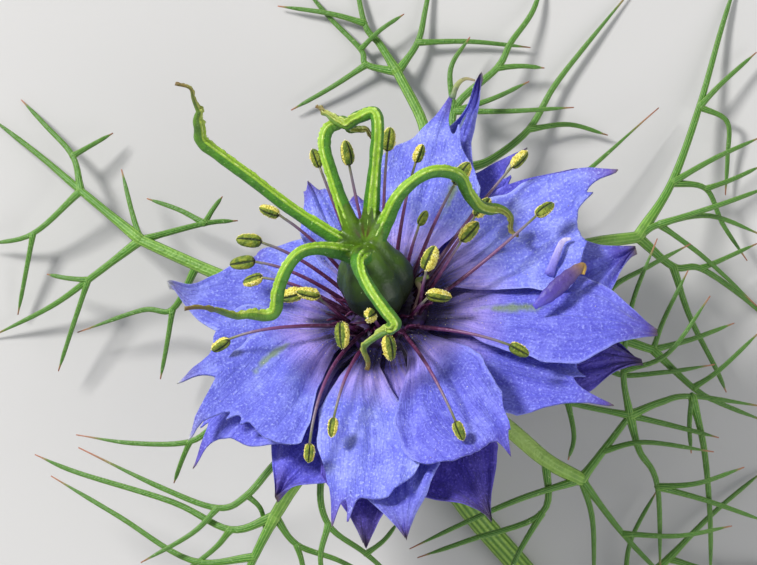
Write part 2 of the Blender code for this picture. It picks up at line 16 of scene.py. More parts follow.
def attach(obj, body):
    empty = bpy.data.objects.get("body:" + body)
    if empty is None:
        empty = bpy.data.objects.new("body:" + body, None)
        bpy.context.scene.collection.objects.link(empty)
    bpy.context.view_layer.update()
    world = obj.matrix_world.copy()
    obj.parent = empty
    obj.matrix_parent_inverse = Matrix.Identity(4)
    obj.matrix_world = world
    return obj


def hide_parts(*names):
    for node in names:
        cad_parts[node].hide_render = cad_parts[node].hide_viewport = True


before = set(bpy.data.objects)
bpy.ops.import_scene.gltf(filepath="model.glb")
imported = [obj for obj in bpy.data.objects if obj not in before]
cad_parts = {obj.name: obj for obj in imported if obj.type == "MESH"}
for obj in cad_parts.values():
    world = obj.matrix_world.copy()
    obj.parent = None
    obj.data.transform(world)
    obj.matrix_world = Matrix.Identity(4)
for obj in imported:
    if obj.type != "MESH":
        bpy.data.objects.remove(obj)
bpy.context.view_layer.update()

MM = 0.001                        # one millimetre in the row frame
HEAD_HEIGHT = 19.0                # receptacle top above the surface
HEAD_TURN = (-48.0, 0.0, 15.0)    # Euler angles of the flower's axis, degrees
TO_CAMERA = Vector((0.0, -0.743, 0.669))    # the row frame's +Z, seen in the head frame

# Petals lie on nested shells, level 0 on top, so that no two of them meet
CLAW_R = 4.2                      # where a petal's claw starts, from the axis
LEVEL_GAP, LEVEL_FAN = 0.75, 0.045    # spacing of the shells at the claw, and its growth per mm
RISE_MEAN, RISE_SWING = 14.0, 20.0    # how steeply the shells leave the axis, front to back, degrees
DROOP = 0.008                     # how fast they bend over
PETAL_T = 0.17                    # thickness of the tissue
FOLD, PLEAT, WRINKLE, MIDRIB, RUFFLE = 1.1, 0.6, 0.16, -0.22, 0.45    # heights of a petal's relief
TOP_ROOM, GAP = 1.0, 0.04         # the top petals' room for relief, and the gap kept between levels
PETAL_ROWS, PETAL_COLUMNS = 72, 60
OUTLINES = {                      # half-width against the way out, as shares
    "round": ((0, 0.2), (0.12, 0.28), (0.28, 0.64), (0.44, 0.94), (0.6, 1.0), (0.8, 0.92), (1, 0.8)),
    "lance": ((0, 0.3), (0.12, 0.4), (0.32, 0.76), (0.52, 1.0), (0.68, 0.9), (0.8, 0.58), (0.89, 0.28),
              (0.95, 0.12), (1, 0.02)),
    "wedge": ((0, 0.3), (0.12, 0.4), (0.3, 0.78), (0.48, 1.0), (0.66, 0.94), (0.82, 0.74), (1, 0.5)),
    "spear": ((0, 0.26), (0.13, 0.34), (0.32, 0.8), (0.48, 1.0), (0.58, 0.84), (0.68, 0.48), (0.8, 0.26),
              (0.92, 0.14), (1, 0.03))}
PETALS = (     # azimuth, reach, level, width, sweep, outline, side and hook and curl of the tip, tone
    (15, 27.0, 0, 12.5, 2, "round", 0.6, -1.6, 0.6, "pale"),
    (-66, 21.8, 0, 11.5, 0, "round", 0.6, -0.6, -0.4, "blue"),
    (-163, 24.0, 0, 13.0, 4, "round", -0.6, 1.6, 0.8, "frost"),
    (108, 15.2, 0, 6.5, -4, "wedge", 0.0, 0.3, 0.4, "pale"),
    (59, 24.3, 1, 11.0, 1, "wedge", 0.1, -0.4, 0.4, "pale"),
    (-18, 27.2, 1, 10.5, -2, "lance", 0.1, 0.0, -0.2, "blue"),
    (-118, 23.2, 1, 10.5, 3, "round", -0.6, -0.6, -0.6, "pale"),
    (-177, 21.8, 1, 9.5, 0, "wedge", 0.2, 0.9, 0.4, "frost"),
    (57, 28.5, 2, 7.0, -2, "spear", 0.0, 0.5, 0.6, "blue"),
    (2, 26.0, 2, 11.5, 0, "lance", 0.6, 0.2, -0.2, "blue"),
    (-101, 23.2, 2, 10.5, 2, "lance", 0.1, 0.0, -0.4, "blue"),
    (-161, 24.3, 2, 11.0, 3, "wedge", -0.3, 0.8, 0.2, "blue"),
    (158, 22.2, 2, 8.5, 0, "lance", 0.3, -0.8, 1.2, "frost"),
    (30, 26.2, 3, 12.0, 0, "round", 0.6, -0.4, -0.3, "deep"),
    (-38, 23.9, 3, 12.0, 2, "wedge", -0.5, 0.3, -0.5, "blue"),
    (-110, 22.6, 3, 10.5, 0, "lance", 0.0, 0.0, -0.6, "violet"),
    (89, 15.0, 3, 9.0, 0, "wedge", 0.0, 0.0, 0.0, "pale"),
    (45, 25.2, 4, 10.0, 0, "wedge", 0.5, -0.9, 0.3, "deep"),
    (-20, 25.0, 4, 11.5, 0, "lance", 0.2, 0.0, -0.3, "violet"),
    (-77, 21.7, 4, 11.5, 0, "lance", 0.5, 0.0, -0.6, "violet"),
    (-139, 20.2, 4, 10.5, 0, "lance", -0.4, 0.3, -0.3, "deep"),
    (136, 18.0, 4, 12.0, 0, "wedge", 0.0, 0.0, 0.0, "pale"))
MARGINS = {    # petals with teeth: where the margin lies, then each tooth's place across, height, width
    1: (0.7, ((0.6, 0.34, 0.3), (0.26, 0.06, 0.03), (-0.5, 0.03, 0.1))),
    2: (0.88, ((0.6, 0.15, 0.12), (0.78, 0.08, 0.04))),
    3: (0.69, ((-0.6, 0.35, 0.17), (-0.2, 0.06, 0.04), (0.02, 0.04, 0.05))),
    4: (0.9, ((0.0, 0.1, 0.2), (0.5, 0.05, 0.1))),
    5: (0.72, ((0.1, 0.28, 0.26), (-0.42, 0.12, 0.06))),
    7: (0.84, ((-0.6, 0.21, 0.13), (-0.25, 0.14, 0.06))),
    8: (0.74, ((0.2, 0.26, 0.2), (0.62, 0.08, 0.06))),
    12: (0.74, ((-0.3, 0.27, 0.2), (-0.66, 0.14, 0.07), (-0.86, 0.1, 0.05))),
    14: (0.76, ((0.6, 0.29, 0.28), (0.1, 0.09, 0.07))),
    15: (0.76, ((-0.5, 0.27, 0.2), (0.1, 0.06, 0.06))),
    17: (0.9, ((0.0, 0.1, 0.3), (-0.5, 0.06, 0.1))),
    18: (0.76, ((0.5, 0.27, 0.18), (0.05, 0.07, 0.05))),
    22: (0.9, ((0.0, 0.1, 0.3), (0.4, 0.06, 0.1)))}
TONES = {      # claw, flush beyond it, blade, veins and painted fold shade, rim and painted light, tip, its point
    "pale": ((34, 14, 56), (170, 152, 226), (112, 120, 224), (78, 80, 200), (166, 176, 246), (96, 76, 172),
             (126, 104, 92)),
    "frost": ((34, 14, 56), (160, 140, 220), (96, 102, 208), (70, 70, 186), (148, 158, 240), (140, 136, 196),
              (204, 206, 190)),
    "blue": ((34, 14, 56), (160, 142, 222), (94, 96, 210), (62, 58, 178), (142, 148, 240), (80, 58, 156),
             (112, 92, 76)),
    "deep": ((34, 14, 54), (120, 98, 194), (84, 80, 206), (54, 46, 164), (124, 122, 236), (72, 48, 130),
             (104, 84, 74)),
    "violet": ((32, 14, 50), (82, 60, 152), (64, 50, 164), (38, 26, 110), (96, 82, 196), (58, 34, 90),
               (60, 40, 62))}
PATCHES = {    # green patches: petal number, then place across and along, and half sizes
    3: (-0.5, 0.4, 0.12, 0.13),
    5: (-0.5, 0.5, 0.12, 0.16),
    6: (0.16, 0.38, 0.16, 0.17),
    9: (0.0, 0.7, 0.2, 0.2)}

# Small curled bodies: name, slot, radii, flatness, colours from foot to tip, points (reach, azimuth,
# height over the top shell)
EXTRAS = (
    ("petal_roll", "petal", (0.3, 0.75, 0.85, 0.6, 0.3, 0.2), 0.5,
     ((92, 84, 200), (74, 56, 150), (84, 62, 130), (150, 116, 60), (196, 160, 74)),
     ((15.6, -22, 0.5), (17.0, -18, 0.8), (18.4, -14, 1.0), (19.8, -10.5, 1.1), (20.6, -9, 1.0),
      (20.4, -11, 0.7))),
    ("petal_lip", "petal", (0.5, 0.4, 0.28, 0.12), 0.3,
     ((110, 104, 214), (150, 142, 224), (196, 186, 230), (216, 208, 232)),
     ((17.0, -9, 0.3), (18.0, -4, 0.8), (19.0, 0, 1.0), (19.9, 0.5, 0.9))),
    ("nectary", "stamen", (0.35, 0.3, 0.26, 0.28, 0.2), 0.7,
     ((90, 60, 70), (170, 130, 130), (200, 166, 150), (130, 140, 70), (120, 140, 60)),
     ((3.4, -36, 0.5), (3.8, -26, 1.4), (4.2, -12, 2.4), (4.0, 0, 2.9), (5.2, -2, 3.0))),
    ("petal_awn", "petal", (0.3, 0.28, 0.18, 0.1), 0.5,
     ((96, 116, 90), (140, 150, 84), (156, 150, 100), (170, 150, 120)),
     ((22.6, 57, 0.4), (23.8, 56.5, 0.9), (24.6, 55, 1.1), (25.0, 53, 0.8))))

# Stamens: tip azimuth, tip reach, height of the tip above the top shell, bow, share of open pollen
STAMEN_RINGS = (3.1, 3.6)         # the two rings of filament bases
STAMEN_START, FIRST_AZIMUTH = 0.3, -158    # height of the bases over the top shell, and the first one
FILAMENT_R, FILAMENT_END_R = 0.25, 0.13
ANTHER_R, ANTHER_L = 0.66, 2.6
ANTHER_SIZES = (0.9, 1.05, 0.72, 0.76, 0.95, 1.0, 0.78, 0.85, 1.0, 1.05, 0.9, 1.0, 0.92)
ANTHER_LEANS = (-1, 1, 0.4)       # which side opens more; sizes, leans and rolls are taken in turn
ANTHER_ROLLS = (-38, 22, 0, 46, -15)    # about its own length, degrees
STAMENS = (
    (-174, 16.6, 1.6, 2.0, 0.15), (-129, 7.3, 3.8, 1.2, 0.45), (-124, 19.0, 1.3, 2.2, 0.4),
    (-119, 16.0, 1.6, 1.8, 0.85), (-104, 5.9, 5.4, 0.7, 1.0), (-93, 7.9, 2.9, 1.6, 0.5),
    (-77, 18.3, 1.5, 2.0, 0.5), (-43, 16.2, 1.6, 1.8, 0.2), (-31, 6.6, 3.2, 1.0, 0.35),
    (-12, 5.9, 6.2, 0.8, 1.0), (6, 18.2, 3.5, 1.2, 0.5), (9, 10.4, 4.4, 0.8, 0.5),
    (18, 12.8, 4.0, 0.6, 0.9), (26, 19.0, 3.2, 0.6, 0.5), (27, 12.4, 7.2, 0.6, 0.35),
    (31, 7.2, 6.2, 0.5, 0.0), (49, 11.4, 8.0, 0.6, 0.75), (64, 11.2, 9.2, 0.5, 0.3),
    (87, 10.2, 9.0, 0.5, 0.5), (103, 11.4, 8.0, 0.5, 0.3), (133, 12.4, 5.0, 1.0, 0.7),
    (148, 13.2, 4.2, 0.8, 0.35), (154, 13.8, 2.6, 1.2, 0.0), (160, 12.6, 2.2, 1.4, 0.5),
    (171, 8.6, 3.0, 1.0, 1.0), (178, 6.8, 4.2, 0.8, 1.0))

# Seed pod: six lobes, each drawn out into a style; the style points are (reach, azimuth, height)
STYLES = (
    (160, ((1.4, 165, 9.0), (3.3, 158, 10.6), (7.0, 154, 13.8), (10.4, 153, 17.5), (12.9, 153, 20.2),
           (14.6, 153, 22.4), (14.2, 152, 24.8), (14.2, 151, 27.0), (15.9, 151, 29.0))),
    (-140, ((1.5, -150, 9.0), (3.2, -158, 10.6), (4.9, -159, 12.0), (6.9, -158, 12.8), (8.8, -156, 12.2),
            (10.4, -155, 10.4), (11.5, -154, 8.4), (13.0, -156, 8.6), (15.2, -157, 9.8),
            (17.4, -156, 12.4), (20.3, -156, 14.6))),
    (-75, ((1.3, -100, 9.2), (3.5, -110, 10.4), (5.5, -102, 10.4), (7.5, -95, 9.9), (9.3, -89, 8.7),
           (10.4, -86, 7.6), (10.0, -92, 6.6), (10.8, -104, 5.8), (12.7, -104, 4.4))),
    (0, ((1.1, 15, 9.2), (2.7, 14, 11.2), (4.6, 12, 13.7), (7.2, 12, 14.8), (9.2, 12, 14.4),
         (10.8, 12, 12.8), (11.3, 11, 10.4), (12.2, 11, 8.2), (13.6, 12, 7.0), (14.8, 9, 5.8),
         (14.9, 2, 4.8))),
    (55, ((1.1, 60, 9.4), (2.8, 50, 13.2), (4.6, 47, 17.0), (5.9, 46, 20.0), (6.7, 52, 21.0),
          (6.6, 66, 20.4), (7.2, 80, 19.2), (8.4, 92, 19.6), (10.0, 97, 19.8))),
    (110, ((1.3, 125, 9.4), (3.0, 114, 12.8), (4.9, 107, 15.6), (6.5, 103, 17.4), (7.6, 96, 18.4),
           (8.2, 86, 18.4), (8.3, 76, 17.6), (8.2, 66, 16.2))))

# Bracts under the petals and leaves on the stem, in the lying frame: where each is rooted, an azimuth
# or a point, and its threads. A thread has a first and a last radius, the thread and the point of it
# where it starts, counted from thread 0, which is the root alone, and its further points.
BRACT_ROOT = (3.3, -5.6)          # where a bract leaves the receptacle: reach, height
BRACTS = {
    "bract_left": (155, (
        (0.8, 0.55, 0, 0, ((-6.5, 0.0, 11.5), (-13.8, 2.5, 9.4), (-19.1, 4.7, 8.4),
                           (-24.9, 7.3, 7.0))),
        (0.5, 0.22, 1, 4, ((-31.2, 12.4, 4.4), (-35.5, 16.0, 2.4), (-41.5, 20.6, 0.3))),
        (0.36, 0.2, 2, 1, ((-32.1, 16.0, 3.2), (-35.0, 19.2, 1.8), (-37.6, 21.9, 0.3))),
        (0.32, 0.2, 3, 1, ((-30.4, 17.0, 2.8), (-28.0, 18.4, 2.0))),
        (0.36, 0.2, 2, 1, ((-36.2, 8.0, 3.0), (-41.0, 6.9, 1.4))),
        (0.3, 0.2, 5, 1, ((-37.0, 4.0, 2.2), (-37.9, -0.4, 1.2))),
        (0.42, 0.2, 1, 4, ((-30.4, 3.2, 5.0), (-34.5, 0.4, 2.8), (-41.0, -2.8, 0.3))),
        (0.3, 0.2, 7, 1, ((-32.2, -2.0, 3.8), (-33.6, -6.2, 2.8))),
        (0.3, 0.2, 7, 1, ((-32.6, 3.4, 4.6), (-34.7, 3.8, 4.0))),
        (0.34, 0.2, 1, 4, ((-25.8, 10.0, 6.0), (-27.0, 14.6, 4.4))),
        (0.36, 0.2, 1, 4, ((-18.4, 9.0, 6.0), (-15.0, 9.3, 5.6))),
        (0.32, 0.2, 11, 1, ((-21.0, 10.4, 5.2), (-24.4, 11.6, 4.2))),
        (0.32, 0.2, 11, 1, ((-17.6, 10.4, 5.4), (-16.6, 11.8, 4.8))),
        (0.38, 0.2, 1, 3, ((-21.7, 0.2, 5.6), (-24.9, 0.1, 4.6), (-31.6, -2.2, 3.2))),
        (0.3, 0.2, 14, 1, ((-22.3, -3.4, 5.0), (-23.0, -7.0, 4.4))))),
    "bract_back": (95, (
        (0.75, 0.5, 0, 0, ((2.3, 4.0, 11.0), (3.6, 10.0, 7.6), (4.1, 16.0, 4.9), (4.0, 19.4, 3.8),
                           (1.4, 24.7, 2.0))),
        (0.48, 0.22, 1, 5, ((-0.4, 27.6, 1.4), (-2.0, 29.8, 1.1), (-3.2, 36.0, 0.3))),
        (0.34, 0.2, 2, 2, ((-5.6, 30.8, 1.2), (-11.0, 31.6, 0.8))),
        (0.38, 0.2, 1, 5, ((-1.8, 25.5, 1.7), (-2.4, 27.1, 1.2), (-5.8, 30.6, 0.6),
                           (-8.6, 34.0, 0.3))),
        (0.32, 0.2, 4, 1, ((-5.5, 23.1, 1.4), (-9.6, 20.8, 1.0))),
        (0.28, 0.2, 4, 2, ((-0.4, 29.0, 2.4), (2.1, 30.7, 2.2))),
        (0.4, 0.2, 1, 5, ((3.5, 27.8, 1.4), (4.3, 31.2, 0.9), (5.2, 36.0, 0.3))),
        (0.32, 0.2, 7, 1, ((9.0, 27.9, 1.2), (15.2, 27.3, 0.9))))),
    "bract_fan": (62, (
        (0.68, 0.48, 0, 0, ((4.6, 3.6, 11.0), (6.6, 9.0, 8.0), (8.0, 14.6, 5.2))),
        (0.44, 0.24, 1, 3, ((7.2, 20.6, 3.6), (11.7, 25.1, 2.8), (13.1, 27.7, 2.4),
                            (15.5, 31.2, 1.2), (16.8, 35.6, 0.3))),
        (0.32, 0.2, 2, 2, ((14.2, 25.3, 2.6), (16.6, 25.1, 2.6))),
        (0.34, 0.2, 2, 1, ((6.9, 25.0, 3.2), (8.9, 28.3, 2.8))),
        (0.34, 0.2, 2, 1, ((11.2, 21.9, 3.2), (15.0, 23.7, 2.8))),
        (0.34, 0.2, 2, 1, ((13.0, 20.6, 4.0), (19.6, 21.0, 3.6))),
        (0.46, 0.2, 1, 3, ((11.0, 15.6, 3.6), (15.0, 18.8, 2.0), (17.6, 23.2, 1.2),
                           (21.0, 27.6, 0.8), (26.6, 34.4, 0.3))),
        (0.32, 0.2, 7, 2, ((19.2, 19.3, 1.6), (23.2, 18.2, 1.2))),
        (0.36, 0.2, 1, 3, ((12.5, 12.2, 5.6), (18.1, 12.4, 5.2), (28.4, 21.0, 2.6))))),
    "bract_right": (18, (
        (0.8, 0.6, 0, 0, ((8.0, 1.4, 12.4), (15.0, 5.0, 10.0), (20.7, 6.8, 8.6), (26.0, 7.6, 7.4))),
        (0.5, 0.2, 1, 4, ((29.6, 13.2, 4.9), (32.6, 21.1, 2.4), (35.0, 29.3, 0.8), (36.9, 35.2, 0.3))),
        (0.34, 0.2, 2, 1, ((34.0, 15.7, 4.0), (39.0, 18.0, 3.0))),
        (0.34, 0.2, 2, 1, ((33.2, 12.6, 3.6), (35.0, 9.0, 2.6), (37.6, 5.2, 1.6))),
        (0.3, 0.2, 4, 1, ((36.0, 13.6, 2.8), (39.0, 15.0, 2.0))),
        (0.42, 0.2, 1, 4, ((28.2, 8.9, 6.8), (33.5, 9.8, 5.4), (39.5, 7.6, 4.2))),
        (0.34, 0.2, 6, 1, ((34.4, 10.9, 6.2), (39.6, 12.8, 5.2))),
        (0.32, 0.2, 6, 1, ((30.4, 7.4, 5.8), (33.3, 5.2, 5.0), (38.6, 0.4, 3.4))),
        (0.44, 0.22, 1, 4, ((29.7, 4.6, 5.6), (32.6, 4.4, 4.6), (37.2, 1.4, 2.0), (40.6, -1.6, 0.3))),
        (0.32, 0.2, 9, 2, ((34.6, 5.2, 4.0), (38.6, 7.0, 2.8))),
        (0.36, 0.2, 9, 1, ((31.5, -0.6, 4.4), (34.3, -6.0, 3.0), (35.4, -8.4, 2.2))),
        (0.34, 0.2, 2, 2, ((35.0, 23.6, 2.0), (38.6, 26.8, 1.2))),
        (0.3, 0.2, 2, 2, ((35.5, 19.6, 1.8), (35.6, 16.0, 1.2), (35.4, 12.0, 0.8))))),
    "bract_side": (-14, (
        (0.7, 0.42, 0, 0, ((8.0, -1.6, 14.4), (15.5, -2.2, 12.8), (22.5, -2.5, 11.2),
                           (27.4, -3.9, 9.8))),
        (0.34, 0.2, 1, 4, ((31.5, -2.8, 9.0), (35.8, -1.2, 8.2))),
        (0.38, 0.2, 1, 4, ((31.6, -7.8, 8.6), (34.4, -9.4, 7.8), (39.4, -11.4, 6.4))),
        (0.32, 0.2, 3, 1, ((34.4, -5.9, 8.0), (38.6, -2.0, 7.0))),
        (0.36, 0.2, 1, 3, ((22.9, 2.0, 10.4), (27.0, 4.6, 9.8), (31.3, 6.9, 9.2))),
        (0.3, 0.2, 1, 4, ((28.6, -0.6, 10.0), (31.0, 4.2, 9.6))),
        (0.34, 0.2, 1, 3, ((23.4, -6.2, 10.4), (28.4, -6.2, 10.2), (33.7, -5.4, 9.6))))),
    "bract_front_right": (-42, (
        (1.0, 0.7, 0, 0, ((6.4, -7.6, 15.2), (12.1, -11.4, 14.6), (16.4, -15.0, 13.6),
                          (20.0, -17.0, 12.4))),
        (0.5, 0.3, 1, 4, ((22.2, -14.1, 12.6), (24.9, -10.5, 12.8))),
        (0.44, 0.2, 2, 2, ((28.0, -9.2, 12.2), (31.3, -8.6, 11.4), (39.4, -9.8, 9.4))),
        (0.34, 0.2, 2, 2, ((18.6, -9.2, 13.8), (12.8, -7.6, 16.2))),
        (0.36, 0.2, 2, 2, ((24.2, -6.0, 13.8), (25.0, 0.6, 14.4), (27.6, 7.4, 14.2))),
        (0.3, 0.2, 5, 1, ((28.7, -4.2, 14.0), (33.0, 1.6, 13.4))),
        (0.34, 0.2, 2, 2, ((29.4, -11.6, 12.0), (34.0, -12.8, 11.4))),
        (0.42, 0.22, 2, 2, ((25.9, -14.1, 12.0), (27.8, -17.8, 11.0), (28.2, -28.0, 9.0))),
        (0.32, 0.2, 2, 1, ((26.4, -13.2, 13.4), (33.4, -14.2, 12.8))),
        (0.4, 0.2, 3, 2, ((32.6, -14.1, 10.2), (33.3, -21.4, 8.8), (33.4, -28.0, 7.6))),
        (0.3, 0.2, 3, 2, ((31.0, -11.4, 11.6), (31.2, -14.4, 11.4))),
        (0.4, 0.2, 1, 4, ((24.3, -22.6, 10.6), (29.0, -27.6, 9.6))),
        (0.36, 0.2, 1, 4, ((21.2, -21.3, 11.2), (21.4, -28.0, 9.6))),
        (0.4, 0.2, 1, 3, ((16.0, -20.4, 12.6), (8.6, -23.2, 11.8), (3.4, -25.0, 11.2))),
        (0.34, 0.2, 14, 1, ((13.4, -25.0, 11.8), (12.0, -29.0, 11.2))),
        (0.34, 0.2, 8, 2, ((33.0, -19.3, 9.9), (39.4, -21.6, 8.4))),
        (0.32, 0.2, 8, 2, ((32.0, -17.4, 11.4), (36.6, -15.8, 11.4))),
        (0.3, 0.2, 12, 1, ((30.0, -22.8, 10.8), (35.4, -21.8, 10.6))),
        (0.38, 0.2, 1, 4, ((14.0, -18.8, 14.2), (8.4, -21.2, 14.0), (2.6, -24.0, 13.2))),
        (0.3, 0.2, 4, 1, ((19.2, -12.6, 13.8), (18.6, -15.0, 14.0))))),
    "bract_front_left": (-125, (
        (0.8, 0.6, 0, 0, ((-4.0, -10.6, 16.0), (-8.8, -17.1, 15.6), (-11.0, -20.6, 15.0))),
        (0.58, 0.26, 1, 3, ((-13.1, -24.8, 14.0), (-15.4, -30.0, 12.6))),
        (0.42, 0.2, 1, 3, ((-15.5, -22.0, 14.0), (-21.4, -19.3, 12.4), (-31.2, -16.4, 10.0),
                           (-35.6, -14.6, 9.0))),
        (0.36, 0.2, 3, 1, ((-17.4, -24.2, 13.0), (-22.4, -28.0, 11.2))),
        (0.38, 0.2, 2, 1, ((-19.5, -25.2, 12.4), (-27.0, -20.8, 10.6), (-34.0, -16.8, 8.4))),
        (0.44, 0.24, 1, 1, ((-10.2, -14.6, 15.2), (-13.8, -18.5, 14.8), (-16.8, -19.8, 14.4),
                            (-22.5, -17.8, 13.4), (-31.0, -13.8, 11.6))),
        (0.32, 0.2, 6, 3, ((-19.4, -22.4, 14.0), (-24.6, -25.4, 13.0))),
        (0.38, 0.2, 1, 3, ((-8.8, -23.5, 14.2), (-4.5, -25.2, 13.2), (0.0, -27.6, 12.6))),
        (0.32, 0.2, 8, 1, ((-8.2, -26.0, 13.6), (-8.6, -29.4, 13.0))),
        (0.42, 0.22, 1, 1, ((-6.3, -16.8, 16.4), (-5.6, -21.4, 15.8), (-1.8, -24.4, 15.0),
                            (2.0, -27.8, 14.2))),
        (0.34, 0.2, 10, 2, ((-6.4, -25.0, 15.4), (-5.4, -29.4, 14.8))),
        (0.3, 0.2, 10, 3, ((0.0, -23.0, 15.6), (1.4, -21.2, 15.8))),
        (0.3, 0.2, 6, 2, ((-12.4, -20.0, 14.2), (-12.0, -22.6, 13.2))),
        (0.42, 0.2, 1, 1, ((-10.0, -11.0, 14.8), (-16.0, -11.0, 13.2), (-19.7, -13.2, 12.0),
                           (-25.6, -13.4, 10.2), (-31.4, -12.6, 8.6))),
        (0.3, 0.2, 14, 3, ((-20.6, -15.3, 10.8), (-21.4, -17.5, 9.4)))))}
STEM_LEAVES = {
    "stem_leaf_upper": ((21.9, -33.1, 1.3), (
        (0.6, 0.4, 0, 0, ((25.0, -29.6, 2.6), (29.4, -25.6, 2.4))),
        (0.36, 0.2, 1, 2, ((34.0, -21.0, 1.6), (39.6, -16.4, 0.3))),
        (0.34, 0.2, 1, 2, ((35.0, -27.0, 1.6), (41.6, -26.4, 0.4))),
        (0.3, 0.2, 3, 1, ((39.0, -30.4, 1.0), (43.4, -33.0, 0.4))),
        (0.3, 0.2, 1, 1, ((25.4, -24.0, 2.8), (28.4, -18.2, 2.2))),
        (0.3, 0.2, 1, 1, ((31.0, -32.0, 1.8), (37.4, -35.4, 0.8))))),
    "stem_leaf_lower": ((39.6, -63.2, 1.3), (
        (0.6, 0.4, 0, 0, ((36.0, -64.0, 2.2), (30.0, -63.0, 1.8))),
        (0.36, 0.2, 1, 2, ((23.0, -58.0, 1.0), (16.0, -54.6, 0.3))),
        (0.34, 0.2, 1, 2, ((22.4, -65.0, 1.2), (14.0, -64.0, 0.4))),
        (0.3, 0.2, 3, 1, ((17.6, -69.0, 0.8), (12.6, -71.4, 0.4))),
        (0.3, 0.2, 1, 1, ((30.4, -69.6, 1.6), (23.6, -74.0, 0.6))),
        (0.3, 0.2, 1, 1, ((32.0, -58.0, 1.8), (26.4, -52.6, 0.8)))))}

# Finer shapes than the CAD's; a lobe's tables are of height and value
LOBE_REACH = ((0.2, 0.8), (0.7, 0.95), (1.5, 1.35), (3.0, 1.9), (4.8, 2.1), (6.6, 1.75), (8.1, 1.15),
              (9.0, 0.8))
LOBE_RADIUS = ((0.2, 0.8), (0.7, 1.0), (1.5, 1.45), (3.0, 1.75), (4.8, 1.83), (6.6, 1.58), (8.1, 1.0),
               (9.0, 0.6))
POD_BOTTOM, POD_TOP = 0.2, 9.0
SEAM_ANGLE, CROWN = 28.0, 10.5    # a seam's angle from its lobe's middle, and where the styles part
STYLE_HALF, STYLE_SWAY = 0.62, 0.9    # half-width, and how far the dry end strays
STYLE_ANGLES = (0, -7, -14, -20, -26, -33, -48, -75, -105, -140, 180, 140, 105, 75, 48, 33, 26, 20, 14, 7)
STYLE_ROLLS = ((42, 60), (42, 90), (8, 160), (-34, 90), (4, 60), (-38, 60))    # crest's roll and twist
THREAD_SECTION = (                # a thread's ribs and channel: angle, share of the radius, paleness, a painted highlight on the ribs
    (0, 1.0, 0.2), (20, 0.96, 0.0), (38, 1.04, 1.0), (56, 0.9, 0.1), (72, 0.96, 0.8), (90, 0.74, 0.0),
    (108, 0.96, 0.8), (124, 0.9, 0.1), (142, 1.04, 1.0), (160, 0.96, 0.0), (180, 1.0, 0.2), (215, 0.95, 0.5),
    (240, 0.92, 0.0), (270, 0.98, 0.4), (300, 0.92, 0.0), (325, 0.95, 0.5))
TIP_R = 0.3                       # a thread whose last radius is less than this ends in a point
ROUND_END = 0.4                   # radius share of the last ring of a thread that ends in a fork
DISC_PROFILE = ((2.2, 0.7, 0), (3.2, 0.6, 0), (4.0, 0.25, 0), (4.4, -0.6, 0), (4.5, -2.8, 0), (6.2, -3.6, 0),
                (6.2, -3.9, 0), (4.2, -3.6, 0))

# Receptacle and stem, in the head frame and in the lying frame
STEM_R, RIBS = 1.2, 12
RECEPTACLE_RINGS = ((0.0, 3.3), (-0.5, 3.7), (-1.5, 3.8), (-3.6, 3.8), (-4.7, 2.9), (-6.0, 1.9))
STEM_PATH = ((1.9, -7.0, 12.4), (4.3, -13.0, 7.4), (8.6, -20.0, 3.4), (15.0, -27.5, 1.5),
             (22.0, -36.0, 1.2), (32.0, -49.0, 1.2), (41.0, -62.0, 1.2), (50.0, -76.0, 1.2),
             (59.0, -88.0, 1.2))

# Camera straight above the head, whose frame is this wide there, and lights around the head, in metres
SENSOR, CAMERA_HEIGHT, VIEW_WIDTH = 36.0, 500.0, 75.7
VIEW_SHIFT = (-0.55, 2.95)
LIGHTS = (     # name, place, size, power
    ("key", (-0.36, 0.3, 0.36), 0.12, 4.2),
    ("fill", (0.4, -0.3, 0.4), 0.5, 1.8))


def linear(value):
    """The linear light of an 8-bit display value."""
    share = value / 255
    if share < 0.04:
        return share / 12.92
    return ((share + 0.055) / 1.055) ** 2.4


def srgb(red, green, blue):
    """A linear colour from 8-bit display values."""
    return (linear(red), linear(green), linear(blue), 1.0)


def head_frame():
    """The matrix of the head's frame, from the round top face of the CAD stem."""
    turn = Euler([radians(a) for a in HEAD_TURN]).to_matrix().to_4x4()
    points = [turn.inverted() @ v.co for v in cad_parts["stem"].data.vertices]
    top = max(p.z for p in points)
    ring = [p for p in points if p.z > top - 0.01 * MM]
    middle = Vector([(min(p[k] for p in ring) + max(p[k] for p in ring)) / 2 for k in range(3)])
    return Matrix.Translation(turn @ middle) @ turn @ Matrix.Scale(MM, 4)


HEAD = head_frame()
LYING = Matrix.Translation(HEAD.translation - Vector((0, 0, HEAD_HEIGHT * MM))) @ Matrix.Scale(MM, 4)
HEAD_IN_LYING = LYING.inverted() @ HEAD


def polar(reach, azimuth, height):
    """A point at a reach from the axis, an azimuth in degrees and a height."""
    return Vector((reach * cos(radians(azimuth)), reach * sin(radians(azimuth)), height))


def shell(reach, azimuth, level):
    """Height of a petal shell: steep at the back, drooping at the front, lower for deeper levels."""
    x = max(reach - CLAW_R, 0.0)
    rise = radians(RISE_MEAN + RISE_SWING * sin(radians(azimuth)))
    return tan(rise) * x - DROOP * x * x - level * (LEVEL_GAP + LEVEL_FAN * x)


def spline(points, steps):
    """A Catmull-Rom curve through the points, with this many steps between two of them."""
    p = [Vector(q) for q in points]
    p = [2 * p[0] - p[1]] + p + [2 * p[-1] - p[-2]]
    curve = []
    for a, b, c, d in zip(p, p[1:], p[2:], p[3:]):
        for i in range(steps):
            s = i / steps
            curve.append(0.5 * (2 * b + (c - a) * s + (2 * a - 5 * b + 4 * c - d) * s ** 2
                                + (3 * b - a - 3 * c + d) * s ** 3))
    return curve + [p[-2]]


def turned(a, b, angle):
    """An offset turned by an angle."""
    return (a * cos(angle) - b * sin(angle), a * sin(angle) + b * cos(angle))


